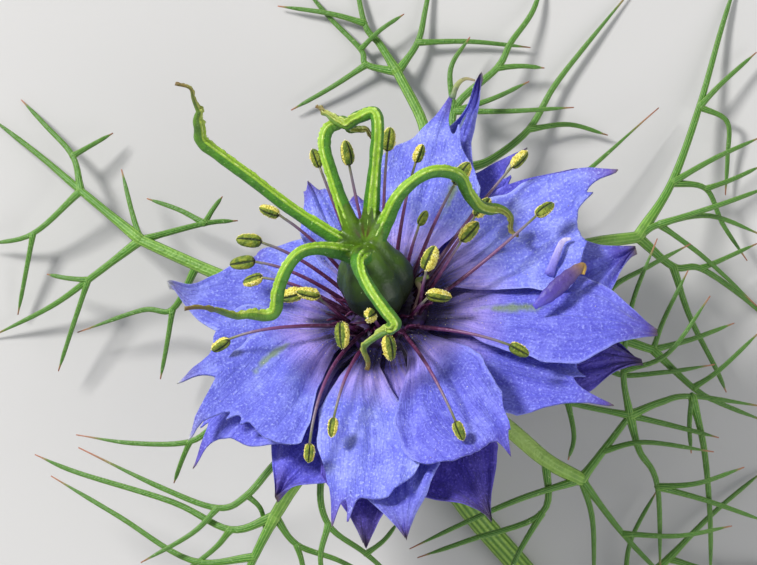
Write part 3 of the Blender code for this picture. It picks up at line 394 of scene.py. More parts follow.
def lookup(table, t):
    """Straight-line reading of a table of (t, value) rows."""
    for row, after in zip(table, table[1:]):
        if t <= after[0]:
            return row[1] + (after[1] - row[1]) * (t - row[0]) / (after[0] - row[0])
    return table[-1][1]


def ease(value, low, high):
    """0 below low, 1 above high, and a smooth step between."""
    s = min(max((value - low) / (high - low), 0.0), 1.0)
    return s * s * (3 - 2 * s)


class Shape:
    """Vertices in millimetres, faces, and a flow vector for each vertex."""

    def __init__(self):
        self.verts, self.faces, self.flow = [], [], []

    def add(self, verts, faces, flow):
        """Joins on another closed body."""
        start = len(self.verts)
        self.verts += verts
        self.faces += [tuple(start + k for k in face) for face in faces]
        self.flow += flow


def ring_faces(count, sides):
    """The faces of a body of rings of vertices, closed at both ends."""
    faces = [(i + k, i + (k + 1) % sides, i + sides + (k + 1) % sides, i + sides + k)
             for i in range(0, count - sides, sides) for k in range(sides)]
    faces.append(tuple(range(sides - 1, -1, -1)))
    faces.append(tuple(range(count - sides, count)))
    return faces


def sweep(shape, centres, sections, up, flow, steady=0.35):
    """Adds a closed tube. Section i is a ring of (left, up) offsets, with a flow vector for each."""
    verts, lift = [], up.copy()
    for i, centre in enumerate(centres):
        along = (centres[min(i + 1, len(centres) - 1)] - centres[max(i - 1, 0)]).normalized()
        lift = lift + steady * up
        lift = (lift - along * lift.dot(along)).normalized()
        left = lift.cross(along)
        verts += [centre + left * a + lift * b for a, b in sections[i]]
    shape.add(verts, ring_faces(len(verts), len(sections[0])), [f for ring in flow for f in ring])


def round_tube(shape, centres, radii, sides, flat=1.0, far=1.0):
    """Adds a tube of round or flattened rings, whose flow runs from 0 to far along it."""
    last = len(centres) - 1
    sections, flow = [], []
    for i, radius in enumerate(radii):
        turns = [2 * pi * k / sides for k in range(sides)]
        sections.append([(radius * cos(turn), flat * radius * sin(turn)) for turn in turns])
        flow.append([(0, far * i / last, 0)] * sides)
    sweep(shape, centres, sections, TO_CAMERA, flow)


def add_piece(name, shape, place, material, node=None):
    """Makes the piece in the row frame, hangs it under the root, and hides the CAD node it stands in for, if
    one is given.
    """
    mesh = bpy.data.meshes.new(name)
    mesh.from_pydata([place @ v for v in shape.verts], [], shape.faces)
    attribute = mesh.attributes.new("flow", "FLOAT_VECTOR", "POINT")
    attribute.data.foreach_set("vector", [c for f in shape.flow for c in f])
    mesh.shade_smooth()
    mesh.materials.append(material)
    piece = bpy.data.objects.new(name, mesh)
    bpy.context.scene.collection.objects.link(piece)
    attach(piece, "root")
    if node:
        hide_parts(node)


class Shader:
    """A material that is wired up node by node; most methods return an output socket."""

    def __init__(self, name, roughness, **constants):
        self.material = bpy.data.materials.new(name)
        self.material.use_nodes = True
        self.tree = self.material.node_tree
        self.surface = self.tree.nodes["Principled BSDF"]
        self.surface.inputs["Roughness"].default_value = roughness
        for socket, value in constants.items():
            self.surface.inputs[socket.replace("_", " ")].default_value = value
        self.position = self.node("VectorMath", {0: self.node("TexCoord", {}, "Object"), "Scale": 1 / MM},
                                  operation="SCALE")
        split = self.tree.nodes.new("ShaderNodeSeparateXYZ")
        self.tree.links.new(self.node("Attribute", {}, "Vector", attribute_name="flow"), split.inputs[0])
        self.flow = split.outputs

    def node(self, kind, inputs, output=0, **settings):
        """A node with its settings, and its inputs linked or filled in."""
        made = self.tree.nodes.new("ShaderNode" + kind)
        for key, value in settings.items():
            setattr(made, key, value)
        for key, value in inputs.items():
            if isinstance(value, bpy.types.NodeSocket):
                self.tree.links.new(value, made.inputs[key])
            else:
                made.inputs[key].default_value = value
        return made.outputs[output]

    def math(self, operation, a, b=0.0):
        """One calculation with two numbers."""
        return self.node("Math", {0: a, 1: b}, operation=operation)

    def product(self, *factors):
        """The factors multiplied together."""
        result = factors[0]
        for factor in factors[1:]:
            result = self.math("MULTIPLY", result, factor)
        return result

    def band(self, value, low, high):
        """0 below low, 1 above high, and a smooth step between."""
        return self.node("MapRange", {"Value": value, "From Min": low, "From Max": high},
                         interpolation_type="SMOOTHSTEP")

    def mix(self, share, a, b):
        """A colour between two."""
        return self.node("Mix", {0: share, 6: a, 7: b}, 2, data_type="RGBA")

    def wash(self, colour, over, *shares):
        """A display colour laid over a colour, as strongly as the product of the shares."""
        return self.mix(self.product(*shares), colour, srgb(*over))

    def ramp(self, value, stops):
        """A colour read from (place, display colour) stops."""
        colour = self.node("ValToRGB", {"Fac": value})
        elements = colour.node.color_ramp.elements
        for place, _ in stops[2:]:
            elements.new(place)
        for element, (place, rgb) in zip(elements, stops):
            element.position = place
            element.color = srgb(*rgb)
        return colour

    def noise(self, scale, detail=2.0, vector=None, distortion=0.0):
        """Perlin noise; the scale is in waves per millimetre unless a vector is given."""
        return self.node("TexNoise", {"Vector": vector or self.position, "Scale": scale, "Detail": detail,
                                      "Distortion": distortion})

    def about_zero(self, noise, height):
        """Noise moved to run about 0, times a height."""
        return self.product(self.math("SUBTRACT", noise, 0.5), height)

    def vector(self, x, y, z=0.0):
        """Three numbers as one vector."""
        return self.node("CombineXYZ", {0: x, 1: y, 2: z})

    def finish(self, colour, height, depth):
        """Joins the colour and a bump, whose height 1 stands for a depth in millimetres."""
        self.tree.links.new(colour, self.surface.inputs["Base Color"])
        bump = self.node("Bump", {"Height": height, "Distance": depth * MM, "Strength": 1.0})
        self.tree.links.new(bump, self.surface.inputs["Normal"])
        return self.material


def petal_material(number, tone):
    """Veined tissue: a dark claw, a lilac flush, a periwinkle blade with a pale rim and a violet tip, with
    painted shade along its folds and crumples, painted light on its puckers and painted glints.
    """
    claw, flush, blade, vein_and_fold_shade, rim, tip, point = tone
    s = Shader(f"petal_tissue_{number:02d}", 0.55, Sheen_Weight=0.2, Sheen_Roughness=0.4)
    across, along, _ = s.flow
    base = s.ramp(along, ((0.0, claw), (0.1, claw), (0.21, flush), (0.38, blade), (0.82, blade),
                          (0.96, tip), (1.0, point)))
    sideways = s.math("ADD", s.product(across, 9.0), s.about_zero(s.noise(0.35, 3), 0.7))
    fan = s.vector(sideways, s.product(along, 2.6), number)
    net = s.node("TexVoronoi", {"Vector": fan, "Scale": 1.5}, "Distance", feature="DISTANCE_TO_EDGE")
    veins = s.band(net, 0.1, 0.0)
    streak = s.noise(1.0, 5, s.vector(s.product(across, 15.0), s.product(along, 2.4), number))
    mottle = s.noise(0.42, 4)
    crumple = s.noise(0.8, 5, None, 0.65)
    speckle_and_glint = s.noise(4.2, 5)
    inner = s.product(s.band(along, 0.2, 0.4), s.band(along, 1.0, 0.9))
    edge = s.band(s.math("ABSOLUTE", across), 0.9, 1.0)
    # painted fold shade: dark streaks along the petal in the vein colour, partly its real veins
    colour = s.wash(base, vein_and_fold_shade, s.band(streak, 0.42, 0.7), 0.42)
    # painted light on the puckers: lighter blotches in the rim colour
    colour = s.wash(colour, rim, s.band(mottle, 0.42, 0.72), inner, 0.5)
    # painted shade in the crumples
    colour = s.wash(colour, vein_and_fold_shade, s.band(crumple, 0.5, 0.72), inner, 0.4)
    colour = s.wash(colour, vein_and_fold_shade, veins, inner, 0.14)
    colour = s.wash(colour, rim, edge, inner, 0.75)
    # painted glints: light flecks on the velvety blade
    colour = s.wash(colour, [min(c + 22, 252) for c in rim], s.band(speckle_and_glint, 0.53, 0.7), inner, 0.55)
    colour = s.wash(colour, vein_and_fold_shade, s.band(speckle_and_glint, 0.46, 0.32), 0.42)
    if number in PATCHES:
        colour = s.wash(colour, (112, 134, 66), patch_mask(s, *PATCHES[number]), 0.8)
    ridges = s.math("ADD", s.product(streak, 0.45), crumple)
    grit = s.math("ADD", s.product(speckle_and_glint, 0.8), ridges)
    return s.finish(colour, s.math("SUBTRACT", grit, s.product(veins, 0.15)), 0.16)


def patch_mask(s, across, along, wide, long):
    """1 inside a ragged patch of a petal, around a place across and along it."""
    offset = s.vector(s.math("DIVIDE", s.math("SUBTRACT", s.flow[0], across), wide),
                      s.math("DIVIDE", s.math("SUBTRACT", s.flow[1], along), long))
    away = s.node("VectorMath", {0: offset}, "Value", operation="LENGTH")
    return s.band(s.math("ADD", away, s.about_zero(s.noise(0.9, 4), 1.6)), 1.1, 0.2)


def pod_material():
    """Glossy dark green, lighter on top, purple-black at the foot, with a brown star between the styles."""
    s = Shader("pod_skin", 0.45)
    seam, height, reach = s.flow
    base = s.ramp(height, ((0.05, (24, 10, 24)), (0.22, (24, 24, 5)), (0.5, (36, 58, 4)),
                           (0.75, (58, 94, 6)), (0.92, (98, 138, 22)), (1.0, (84, 120, 16))))
    mottle = s.noise(0.55, 4)
    colour = s.wash(base, (20, 40, 6), s.band(mottle, 0.4, 0.66), 0.6)
    colour = s.wash(colour, (20, 36, 6), s.band(seam, 0.6, 1.1), 0.3)
    colour = s.wash(colour, (74, 56, 22), s.band(reach, 1.3, 0.3), s.band(height, 0.93, 0.99),
                    s.band(seam, -0.4, 0.6))
    # painted glints: tiny pale flecks on the glossy skin
    colour = s.wash(colour, (196, 214, 150), s.band(s.noise(2.6, 2), 0.74, 0.8), 0.7)
    return s.finish(colour, s.math("ADD", mottle, s.product(s.noise(4.0, 3), 0.3)), 0.15)


def style_material():
    """Dark green flanks under a lime crest with a pale frilled edge; brown towards the dry tip."""
    s = Shader("style_skin", 0.5)
    crest, along, _ = s.flow
    flank = s.ramp(along, ((0.0, (62, 122, 16)), (0.5, (74, 134, 26)), (0.85, (96, 128, 40)),
                           (1.0, (104, 76, 34))))
    lime = s.ramp(along, ((0.0, (140, 186, 38)), (0.6, (150, 186, 50)), (0.88, (152, 158, 66)),
                          (1.0, (116, 90, 48))))
    mottle = s.noise(1.3, 4)
    colour = s.wash(flank, (34, 84, 14), s.band(mottle, 0.45, 0.7), 0.5)
    colour = s.mix(s.product(s.band(crest, 0.08, 0.5), s.band(along, 0.02, 0.14)), colour, lime)
    torn = s.band(s.noise(1.5, 3), 0.4, 0.65)
    colour = s.wash(colour, (216, 230, 150), s.band(crest, 0.7, 1.0), torn, 0.7)
    # painted glints: tiny pale flecks
    colour = s.wash(colour, (210, 224, 160), s.band(s.noise(4.4, 2), 0.66, 0.76), 0.5)
    return s.finish(colour, s.math("ADD", mottle, s.noise(5.0, 3)), 0.1)


def filament_material():
    """Maroon at the foot, thinning to lilac grey and olive under the anther."""
    s = Shader("filament_skin", 0.4)
    base = s.ramp(s.flow[1], ((0.0, (34, 10, 32)), (0.3, (80, 22, 62)), (0.62, (116, 64, 110)),
                              (0.88, (122, 112, 120)), (1.0, (112, 118, 60))))
    streak = s.noise(2.4, 3)
    return s.finish(s.wash(base, (150, 110, 150), s.band(streak, 0.5, 0.75), 0.4), streak, 0.08)


def disc_material():
    """The deep purple cushion the stamens stand on."""
    s = Shader("disc_skin", 0.5)
    grain = s.noise(1.8, 4)
    return s.finish(s.wash(srgb(28, 10, 40), (58, 32, 92), s.band(grain, 0.4, 0.7)), grain, 0.1)


def anther_material():
    """Two olive lobes that split along yellow, powdery rims."""
    s = Shader("anther_skin", 0.5)
    rim, along, groove = s.flow
    grain = s.noise(5.5, 3)
    green = s.wash(srgb(142, 152, 38), (84, 110, 18), s.band(s.noise(1.8, 3), 0.35, 0.65))
    green = s.wash(green, (36, 52, 10), s.band(groove, 0.5, 1.0))
    green = s.wash(green, (44, 40, 26), s.band(along, 0.12, 0.0))
    yellow = s.wash(srgb(196, 176, 40), (250, 240, 122), s.band(grain, 0.35, 0.62))
    ragged = s.math("ADD", rim, s.about_zero(grain, 0.5))
    return s.finish(s.mix(s.band(ragged, 0.42, 0.58), green, yellow), grain, 0.25)


def pollen_material():
    """Loose grains of pollen."""
    s = Shader("pollen_grain", 0.6)
    colour = s.wash(srgb(236, 214, 92), (250, 244, 196), s.band(s.noise(1.7, 1), 0.4, 0.6))
    return s.finish(colour, s.noise(12.0, 2), 0.03)


def thread_material():
    """Feathery leaf threads: pale where they are thick, partly by painted light, lighter along their edges
    by a painted highlight on the ribs, with reddish points and painted glints.
    """
    s = Shader("thread_skin", 0.45)
    edge, radius, point = s.flow
    # paler where thick: real pale petioles, with painted light on the thick parts
    base = s.ramp(radius, ((0.2, (42, 100, 18)), (0.45, (66, 126, 26)), (0.7, (124, 170, 62)),
                           (0.95, (186, 212, 116))))
    mottle = s.noise(1.1, 4)
    colour = s.wash(base, (36, 88, 16), s.band(mottle, 0.42, 0.7), s.band(radius, 0.9, 0.5), 0.45)
    colour = s.wash(colour, (96, 142, 52), s.band(mottle, 0.5, 0.75), 0.3)
    # painted highlight along the ribs
    colour = s.wash(colour, (176, 208, 108), s.band(edge, 0.3, 1.0), 0.55)
    colour = s.wash(colour, (170, 112, 88), s.band(point, 0.3, 1.0))
    # painted glints: tiny pale flecks
    colour = s.wash(colour, (200, 222, 160), s.band(s.noise(4.0, 2), 0.68, 0.76), 0.5)
    return s.finish(colour, s.math("ADD", mottle, s.noise(4.5, 3)), 0.12)


def stem_material():
    """Ribbed pale green stem with darker furrows and a whitish pith in the cut."""
    s = Shader("stem_skin", 0.45)
    ridge, _, pith = s.flow
    mottle = s.noise(0.8, 4)
    colour = s.wash(srgb(84, 128, 36), (150, 186, 78), s.band(ridge, -0.7, 0.8))
    colour = s.wash(colour, (94, 142, 66), s.band(mottle, 0.45, 0.7), 0.4)
    colour = s.wash(colour, (206, 216, 170), s.band(pith, 0.2, 0.8))
    return s.finish(colour, s.math("ADD", mottle, s.noise(4.0, 3)), 0.12)


def extra_material(name, stops):
    """Tissue whose colour runs through the stops from foot to tip."""
    s = Shader(name, 0.5)
    base = s.ramp(s.flow[1], [(k / (len(stops) - 1), stop) for k, stop in enumerate(stops)])
    grain = s.noise(2.4, 4)
    return s.finish(s.wash(base, (60, 44, 84), s.band(grain, 0.5, 0.75), 0.4), grain, 0.12)


def petal_relief(number, u, along, across):
    """Folds, pleats and wrinkles of a petal, in millimetres."""
    folds = FOLD * noise(Vector((u * 1.5, along * 0.08, number)))
    pleats = PLEAT * noise(Vector((u * 3.6, along * 0.12, number + 40)))
    wrinkles = WRINKLE * noise(Vector((across * 0.8, along * 0.35, number + 80)))
    midrib = MIDRIB * exp(-(u / 0.07) ** 2)
    ruffle = RUFFLE * abs(u) ** 4 * sin(along * 0.75 + number)
    return folds + pleats + wrinkles + midrib + ruffle


def far_end(number, u):
    """How far out the tissue reaches at u across: a rounded margin drawn out into teeth."""
    if number not in MARGINS:
        return 1.0
    margin, teeth = MARGINS[number]
    end = margin * (1 - 0.24 * abs(u) ** 3) + 0.006 * noise(Vector((u * 9, number, 0)))
    for place, height, width in teeth:
        end += height * exp(-(abs(u - place) / width) ** 1.2)
    return min(end, 1.0)


def petal_point(number, u, t):
    """The middle of petal tissue at u across, -1 to 1, and t out from the claw, 0 to 1."""
    azimuth, reach, level, width, sweep, outline, tip_side, hook, curl, _ = PETALS[number - 1]
    out = polar(CLAW_R + 0.1 + (reach - CLAW_R) * t, azimuth + sweep * t * t, 0)
    side = polar(1, azimuth + sweep * t * t + 90, 0)
    share = lookup(OUTLINES[outline], t)
    lean = 0.5 * share
    if number in MARGINS:
        lean = OUTLINES[outline][-1][1]
    frill = 1 + 0.03 * noise(Vector((t * 14, number, u * 2)))
    point = ease(t, 0.8, 1.0) ** 2
    across = width / 2 * (share * frill * u - tip_side * lean * ease(t, 0.1, 0.65)) + hook * point
    along = (reach - CLAW_R) * t
    room = TOP_ROOM
    if level > 0:
        room = 0.5 * (LEVEL_GAP + LEVEL_FAN * along - PETAL_T) - GAP
    relief = petal_relief(number, u, along, across) * ease(t, 0.0, 0.25)
    relief = relief / sqrt(1 + (relief / room) ** 2)
    p = out + side * across
    p.z = shell(hypot(p.x, p.y), degrees(atan2(p.y, p.x)), level) + relief + curl * point
    return p


def petal_shape(number):
    """The two faces of a petal and the rim between them."""
    shape = Shape()
    rows, columns = PETAL_ROWS, PETAL_COLUMNS
    middle = []
    for i in range(rows + 1):
        for j in range(columns + 1):
            u = 2 * j / columns - 1
            t = i / rows * far_end(number, u)
            middle.append((petal_point(number, u, t), u, t))
    verts = [p + Vector((0, 0, half * (1 - 0.6 * u ** 8))) for half in (PETAL_T / 2, -PETAL_T / 2)
             for p, u, _ in middle]
    n, m = columns + 1, len(middle)
    faces = []
    for i in range(rows):
        for a in range(i * n, i * n + columns):
            faces.append((a, a + n, a + n + 1, a + 1))
            faces.append((m + a, m + a + 1, m + a + n + 1, m + a + n))
    rim = [*range(columns), *range(columns, rows * n + columns, n),
           *range(rows * n + columns, rows * n, -1), *range(rows * n, 0, -n)]
    faces += [(a, b, m + b, m + a) for a, b in zip(rim, rim[1:] + rim[:1])]
    shape.add(verts, faces, [(u, t, 0) for _, u, t in middle] * 2)
    return shape


def stamen_path(index, steps):
    """The centreline of a stamen: off the receptacle, over the petals, to the anther's middle."""
    azimuth, reach, height, bow = STAMENS[index][:4]
    base_r = STAMEN_RINGS[index % 2]
    base_az = FIRST_AZIMUTH + 360 * index / len(STAMENS)
    points = []
    for i in range(steps + 1):
        s = i / steps
        r = base_r + (reach - base_r) * s ** 0.8
        az = base_az + (azimuth - base_az) * s ** 0.7
        lift = STAMEN_START + (height - STAMEN_START) * s + bow * max(sin(pi * s), 0.0) ** 0.7
        points.append(polar(r, az, shell(r, az, 0) + lift))
    return points


def filament_shape(index, steps=28):
    """A thread that thins towards the anther."""
    shape = Shape()
    centres = stamen_path(index, steps)
    end = centres[-1]
    along = (end - centres[-2]).normalized()
    centres = [c for c in centres if (c - end).length > 0.6 * ANTHER_L] + [end - along * 0.3 * ANTHER_L]
    last = len(centres) - 1
    radii = [FILAMENT_R + (FILAMENT_END_R - FILAMENT_R) * (i / last) ** 0.7 for i in range(last + 1)]
    round_tube(shape, centres, radii, 8)
    return shape


def anther_shape(index, sides=28, steps=22):
    """Two lobes on a connective; the pollen shows along their outer rims."""
    shape = Shape()
    path = stamen_path(index, 12)
    end, pollen = path[-1], STAMENS[index][4]
    size = ANTHER_SIZES[index % len(ANTHER_SIZES)]
    lopsided = ANTHER_LEANS[index % len(ANTHER_LEANS)]
    roll = radians(ANTHER_ROLLS[index % len(ANTHER_ROLLS)])
    along = (end - path[-2]).normalized()
    centres, sections, flow = [], [], []
    for i in range(steps + 1):
        s = 2 * i / steps - 1
        body = ANTHER_R * size * max(1 - abs(s) ** 2.6, 0.02) ** 0.5 * (1 - 0.12 * s)
        centres.append(end + along * ANTHER_L * size / 2 * s)
        section, ring = [], []
        for k in range(sides):
            turn = 2 * pi * k / sides
            waist = 0.5 + 0.5 * abs(cos(turn)) ** 0.7
            side = 0.5 + 0.5 * lopsided * cos(turn)
            reach = 0.16 + 0.95 * pollen * (0.3 + side)
            rim = exp(-((abs(sin(turn)) - 0.05) / reach) ** 2) * min(pollen * 5 * (0.25 + side), 1.0)
            crust = 1 + 0.22 * rim * noise(Vector((turn * 4, s * 9, index)))
            radius = body * waist * crust * (1 + 0.1 * rim)
            section.append(turned(radius * cos(turn), 1.1 * radius * sin(turn), roll))
            ring.append((rim, (s + 1) / 2, ease(abs(sin(turn)), 0.88, 1.0)))
        sections.append(section)
        flow.append(ring)
    sweep(shape, centres, sections, TO_CAMERA, flow)
    return shape


def pod_radius(turn, height):
    """How far the grown-together lobes reach from the axis, softly joined where they meet."""
    reach, radius = lookup(LOBE_REACH, height), lookup(LOBE_RADIUS, height)
    total = 0.0
    for lobe_az, _ in STYLES:
        apart = turn - radians(lobe_az)
        inside = radius ** 2 - (reach * sin(apart)) ** 2
        if inside > 0:
            total += max(reach * cos(apart) + sqrt(inside), 0.0) ** 14
    return total ** (1 / 14)


def pod_shape(around=84, rows=40):
    """The lobes and the roots of the styles, melted into one skin."""
    shape = Shape()
    verts = []
    for i in range(rows + 1):
        z = POD_BOTTOM + (POD_TOP - POD_BOTTOM) * i / rows
        verts += [polar(pod_radius(2 * pi * k / around, z), 360 * k / around, z) for k in range(around)]
    shape.add(verts, ring_faces(len(verts), around), [(0, 0, 0)] * len(verts))
    for lobe_az, points in STYLES:
        centres = spline([polar(1.5, lobe_az, 7.1)] + [polar(*q) for q in points[:4]], 6)
        last = len(centres) - 1
        radii = [STYLE_HALF * (2.0 - 1.1 * ease(i / last, 0.0, 0.8)) for i in range(last + 1)]
        round_tube(shape, centres, radii, 12)
    return melted(shape)


def melted(shape, voxel=0.16, smoothing=10):
    """The bodies of a shape as one smooth skin; its flow is seam, height and reach on the pod."""
    mesh = bpy.data.meshes.new("melting")
    mesh.from_pydata(shape.verts, [], shape.faces)
    holder = bpy.data.objects.new("melting", mesh)
    bpy.context.scene.collection.objects.link(holder)
    remesh = holder.modifiers.new("skin", "REMESH")
    remesh.mode, remesh.voxel_size = "VOXEL", voxel
    smooth = holder.modifiers.new("soft", "SMOOTH")
    smooth.factor, smooth.iterations = 0.5, smoothing
    bpy.context.view_layer.update()
    skin = holder.evaluated_get(bpy.context.evaluated_depsgraph_get()).to_mesh()
    out = Shape()
    verts = [v.co.copy() for v in skin.vertices]
    flow = []
    for v in verts:
        turn = degrees(atan2(v.y, v.x))
        nearest = min(abs((turn - lobe_az + 180) % 360 - 180) for lobe_az, _ in STYLES)
        flow.append((nearest / SEAM_ANGLE * 2 - 1, v.z / CROWN, hypot(v.x, v.y)))
    out.add(verts, [tuple(p.vertices) for p in skin.polygons], flow)
    bpy.data.objects.remove(holder)
    return out


def style_shape(index, steps=14):
    """A long curved style with two frilled stigma lips along its crest, and a dry, crumpled end."""
    shape = Shape()
    roll, twist = STYLE_ROLLS[index]
    centres = spline([polar(*q) for q in STYLES[index][1]], steps)
    last = len(centres) - 1
    sections, flow = [], []
    for i in range(last + 1):
        s = i / last
        sway = Vector((noise(Vector((s * 10, index, 7))), 0, noise(Vector((s * 10, index, 9)))))
        centres[i] += STYLE_SWAY * ease(s, 0.6, 0.85) * sway
        half = STYLE_HALF * (1.45 - 0.45 * ease(s, 0.0, 0.25) - 0.65 * ease(s, 0.74, 1.0))
        half *= 1.05 + (0.12 + 0.14 * ease(s, 0.5, 0.8)) * noise(Vector((s * 20, index, 0)))
        thick = half * (0.95 - 0.6 * ease(s, 0.55, 0.9))
        crest = radians(roll + twist * ease(s, 0.6, 1.0))
        section, ring = [], []
        for angle in STYLE_ANGLES:
            lip = exp(-((abs(angle) - 20) / 9) ** 2)
            frill = 0.75 + 0.9 * noise(Vector((s * 60, index + (angle > 0), 3)))
            grow = lip * frill * (0.17 + 0.1 * ease(s, 0.45, 0.8))
            turn = radians(angle)
            section.append(turned(-(half + grow) * sin(turn), (thick + grow) * cos(turn), crest))
            ring.append((lip * min(frill + 0.15, 1.0) + 0.3 * exp(-(angle / 26) ** 2), s, 0))
        sections.append(section)
        flow.append(ring)
    sweep(shape, centres, sections, TO_CAMERA, flow, steady=0.12)
    return shape


def thread_radii(number, first, final, count):
    """Radii along a thread: swollen where it forks off another, and rounded or pointed at its end."""
    radii = []
    for i in range(count):
        s = i / (count - 1)
        radius = (first + (final - first) * s) * (1 + 0.05 * noise(Vector((s * 19, number, first))))
        if final < TIP_R:
            radius *= 1 - 0.7 * ease(s, 0.8, 1.0)
        if number > 0 and i > 0:
            radius *= 1 + 0.3 * (1 - ease(s, 0.0, 0.25))
        radii.append(radius)
    if number > 0:
        radii[0] *= ROUND_END
    if final >= TIP_R:
        radii[-1] *= ROUND_END
    return radii


def foliage_shape(root, threads, steps=7):
    """Channelled threads that taper and fork, as the CAD has them but finer."""
    shape = Shape()
    lines = [(root,)]
    for number, (first, final, parent, fork, points) in enumerate(threads):
        lines.append((lines[parent][fork],) + points)
        centres = spline(lines[-1], steps)
        if number > 0:
            centres.insert(0, centres[0] - (centres[1] - centres[0]).normalized() * first)
        if final >= TIP_R:
            centres.append(centres[-1] + (centres[-1] - centres[-2]).normalized() * final)
        last = len(centres) - 1
        sections, flow = [], []
        for i, radius in enumerate(thread_radii(number, first, final, last + 1)):
            point = ease(i / last, 0.84, 1.0) * (final < TIP_R)
            turns = [(radians(angle), radius * share) for angle, share, _ in THREAD_SECTION]
            sections.append([(r * cos(turn), 0.85 * r * sin(turn)) for turn, r in turns])
            flow.append([(edge, radius, point) for _, _, edge in THREAD_SECTION])
        sweep(shape, centres, sections, Vector((0, 0, 1)), flow, steady=0.5)
    return shape


def stem_shape(sides=48, steps=10):
    """The receptacle and the ribbed stem, ending in a cut with a pith."""
    shape = Shape()
    top = spline([HEAD_IN_LYING @ Vector((0, 0, z)) for z, _ in RECEPTACLE_RINGS], 2)
    below = spline(STEM_PATH, steps)
    receptacle = spline([(z, r, 0) for z, r in RECEPTACLE_RINGS], 2)
    radii = [r for _, r, _ in receptacle] + [STEM_R] * len(below)
    centres = top + below
    out = (centres[-1] - centres[-2]).normalized()
    centres += [centres[-1] - out * 0.02, centres[-1] - out * 0.35]
    radii += [STEM_R * 0.62, STEM_R * 0.4]
    turns = [2 * pi * k / sides for k in range(sides)]
    sections, flow = [], []
    for i, radius in enumerate(radii):
        cut = float(i >= len(radii) - 2)
        rib = 0.045 * ease(i, len(top), len(top) + 6) * (1 - cut)
        sizes = [radius * (1 - rib + rib * cos(RIBS * turn)) for turn in turns]
        sections.append([(size * cos(turn), size * sin(turn)) for size, turn in zip(sizes, turns)])
        flow.append([(cos(RIBS * turn), i, cut) for turn in turns])
    sweep(shape, centres, sections, Vector((0, 0, 1)), flow)
    return shape


def grain(shape, centre, size, random):
    """Adds one small uneven eight-sided body."""
    ends = [centre + Vector(d) * size * random.uniform(0.6, 1.1)
            for d in ((1, 0, 0), (0, 1, 0), (-1, 0, 0), (0, -1, 0), (0, 0, 1), (0, 0, -1))]
    faces = [(k, (k + 1) % 4, 4) for k in range(4)] + [((k + 1) % 4, k, 5) for k in range(4)]
    shape.add(ends, faces, [(0, 0, 0)] * 6)


def pollen_shape(random):
    """Crusts of grains on the open anthers, and loose grains fallen on the petals."""
    shape = Shape()
    for index in range(len(STAMENS)):
        skin = anther_shape(index)
        dusty = [v for v, f in zip(skin.verts, skin.flow) if f[0] > 0.5]
        for v in random.sample(dusty, min(len(dusty) // 3, 90)):
            grain(shape, v, random.uniform(0.05, 0.1), random)
    for number, petal in enumerate(PETALS, 1):
        if petal[2] > 1:
            continue
        for _ in range(26):
            t = random.random() ** 1.5 * 0.75
            p = petal_point(number, random.uniform(-0.9, 0.9), t)
            grain(shape, p + Vector((0, 0, PETAL_T / 2)), random.uniform(0.03, 0.07), random)
    return shape


def tuft_shape(random, count=64):
    """Dark stubs and scales crowded round the foot of the pod."""
    shape = Shape()
    for k in range(count):
        azimuth, reach = 360 * k / count + random.uniform(-3, 3), random.uniform(2.4, 4.6)
        length = random.uniform(1.0, 2.6)
        start = polar(reach - 0.3, azimuth, 0.1)
        middle = polar(reach + 0.25 * length, azimuth + random.uniform(-6, 6), 0.6 * length)
        tip = polar(reach + 0.7 * length, azimuth + random.uniform(-9, 9), length * random.uniform(0.7, 1.0))
        centres = spline((start, middle, tip), 5)
        last = len(centres) - 1
        round_tube(shape, centres, [0.24 * (1 - 0.7 * i / last) for i in range(last + 1)], 6, far=0.35)
    return shape


def disc_shape(around=72, steps=4):
    """The dark cushion of tissue that hides the receptacle between the pod and the claws."""
    shape = Shape()
    verts = []
    for r, z, _ in spline(DISC_PROFILE, steps):
        for azimuth in [360 * k / around for k in range(around)]:
            bump = 1 + 0.05 * noise(polar(2.2 * r, azimuth, z))
            verts.append(polar(r * bump, azimuth, z + 0.2 * noise(polar(3 * r, azimuth, 5))))
    faces = [face[::-1] for face in ring_faces(len(verts), around)]
    shape.add(verts, faces, [(0, 0, 0)] * len(verts))
    return shape


def extra_shape(radii, points, flat):
    """A small tapered body along a curve: its radii are spread over the points, its depth is flattened."""
    shape = Shape()
    centres = spline([polar(r, azimuth, shell(r, azimuth, 0) + h) for r, azimuth, h in points], 6)
    last = len(centres) - 1
    table = [(k / (len(radii) - 1), radius) for k, radius in enumerate(radii)]
    radii = [lookup(table, i / last) * (1 + 0.12 * noise(Vector((i * 0.5, last, 0))))
             for i in range(last + 1)]
    round_tube(shape, centres, radii, 12, flat)
    return shape


def build_flower():
    """Every piece of the flower; the petals, filaments and pod hide the CAD nodes they stand in for."""
    for number, petal in enumerate(PETALS, 1):
        tissue = petal_material(number, TONES[petal[-1]])
        add_piece(f"petal_blade_{number:02d}", petal_shape(number), HEAD, tissue,
                  f"petal_{number:02d}")
    for name, slot, radii, flat, stops, points in EXTRAS:
        add_piece(name, extra_shape(radii, points, flat), HEAD, extra_material(f"{name}_skin", stops))
    filament, anther, style = filament_material(), anther_material(), style_material()
    for index in range(len(STAMENS)):
        number = f"{index + 1:02d}"
        add_piece("filament_" + number, filament_shape(index), HEAD, filament, "stamen_" + number)
        add_piece("anther_" + number, anther_shape(index), HEAD, anther)
    add_piece("pod_skin", pod_shape(), HEAD, pod_material(), "seed_pod")
    for index in range(len(STYLES)):
        add_piece(f"style_{index + 1}", style_shape(index), HEAD, style)
    add_piece("stub_tuft", tuft_shape(Random(3)), HEAD, filament)
    add_piece("flower_disc", disc_shape(), HEAD, disc_material())
    add_piece("pollen", pollen_shape(Random(5)), HEAD, pollen_material())


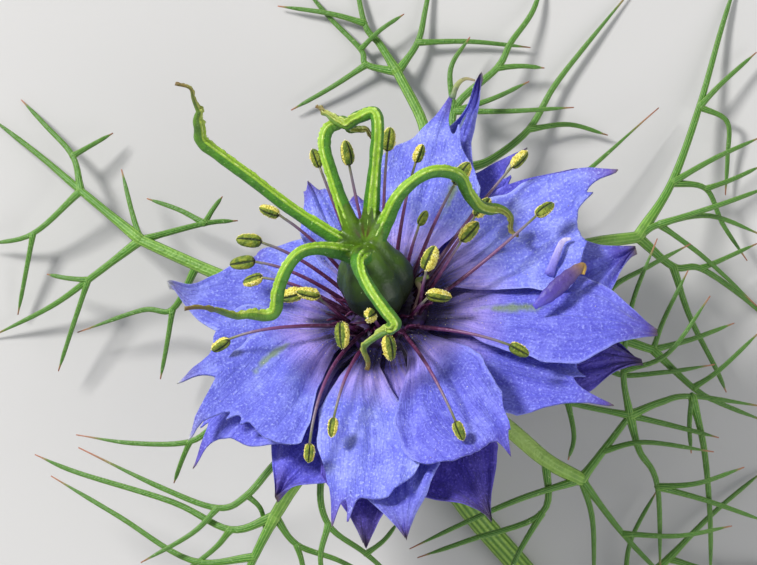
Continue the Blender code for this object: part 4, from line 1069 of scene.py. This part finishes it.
def build_greenery():
    """The stem, the bracts and the stem's leaves."""
    add_piece("stem_ribbed", stem_shape(), LYING, stem_material(), "stem")
    thread = thread_material()
    for name, (azimuth, threads) in BRACTS.items():
        root = HEAD_IN_LYING @ polar(BRACT_ROOT[0], azimuth, BRACT_ROOT[1])
        add_piece(name + "_threads", foliage_shape(root, threads), LYING, thread, name)
    for name, (root, threads) in STEM_LEAVES.items():
        add_piece(name + "_threads", foliage_shape(root, threads), LYING, thread, name)


def add_floor():
    """A plain pale surface for the flower to lie on."""
    mesh = bpy.data.meshes.new("floor")
    mesh.from_pydata([(-2, -2, 0), (2, -2, 0), (2, 2, 0), (-2, 2, 0)], [], [(0, 1, 2, 3)])
    floor = bpy.data.objects.new("floor", mesh)
    bpy.context.scene.collection.objects.link(floor)
    material = bpy.data.materials.new("floor_paper")
    material.use_nodes = True
    surface = material.node_tree.nodes["Principled BSDF"]
    surface.inputs["Base Color"].default_value = srgb(198, 196, 193)
    surface.inputs["Roughness"].default_value = 0.9
    mesh.materials.append(material)


def add_light(name, place, size, power, target):
    """A square soft light that looks at the flower from a place around it."""
    data = bpy.data.lights.new(name, "AREA")
    data.size, data.energy = size, power
    light = bpy.data.objects.new(name, data)
    light.location = target + Vector(place)
    light.rotation_euler = (-Vector(place)).to_track_quat("-Z", "Y").to_euler()
    bpy.context.scene.collection.objects.link(light)


def add_camera(target):
    """Looks straight down on the flower's head."""
    data = bpy.data.cameras.new("camera")
    data.sensor_width, data.lens = SENSOR, SENSOR * CAMERA_HEIGHT / VIEW_WIDTH
    camera = bpy.data.objects.new("camera", data)
    camera.location = target + Vector((*VIEW_SHIFT, CAMERA_HEIGHT)) * MM
    bpy.context.scene.collection.objects.link(camera)
    bpy.context.scene.camera = camera


def set_world():
    """An even pale surrounding."""
    world = bpy.data.worlds.new("studio")
    world.use_nodes = True
    sky = world.node_tree.nodes["Background"]
    sky.inputs["Color"].default_value = srgb(236, 240, 248)
    sky.inputs["Strength"].default_value = 0.42
    bpy.context.scene.world = world
    bpy.context.scene.view_settings.view_transform = "Standard"


build_flower()
build_greenery()
add_floor()
head = HEAD.translation
for light in LIGHTS:
    add_light(*light, head)
add_camera(head)
set_world()
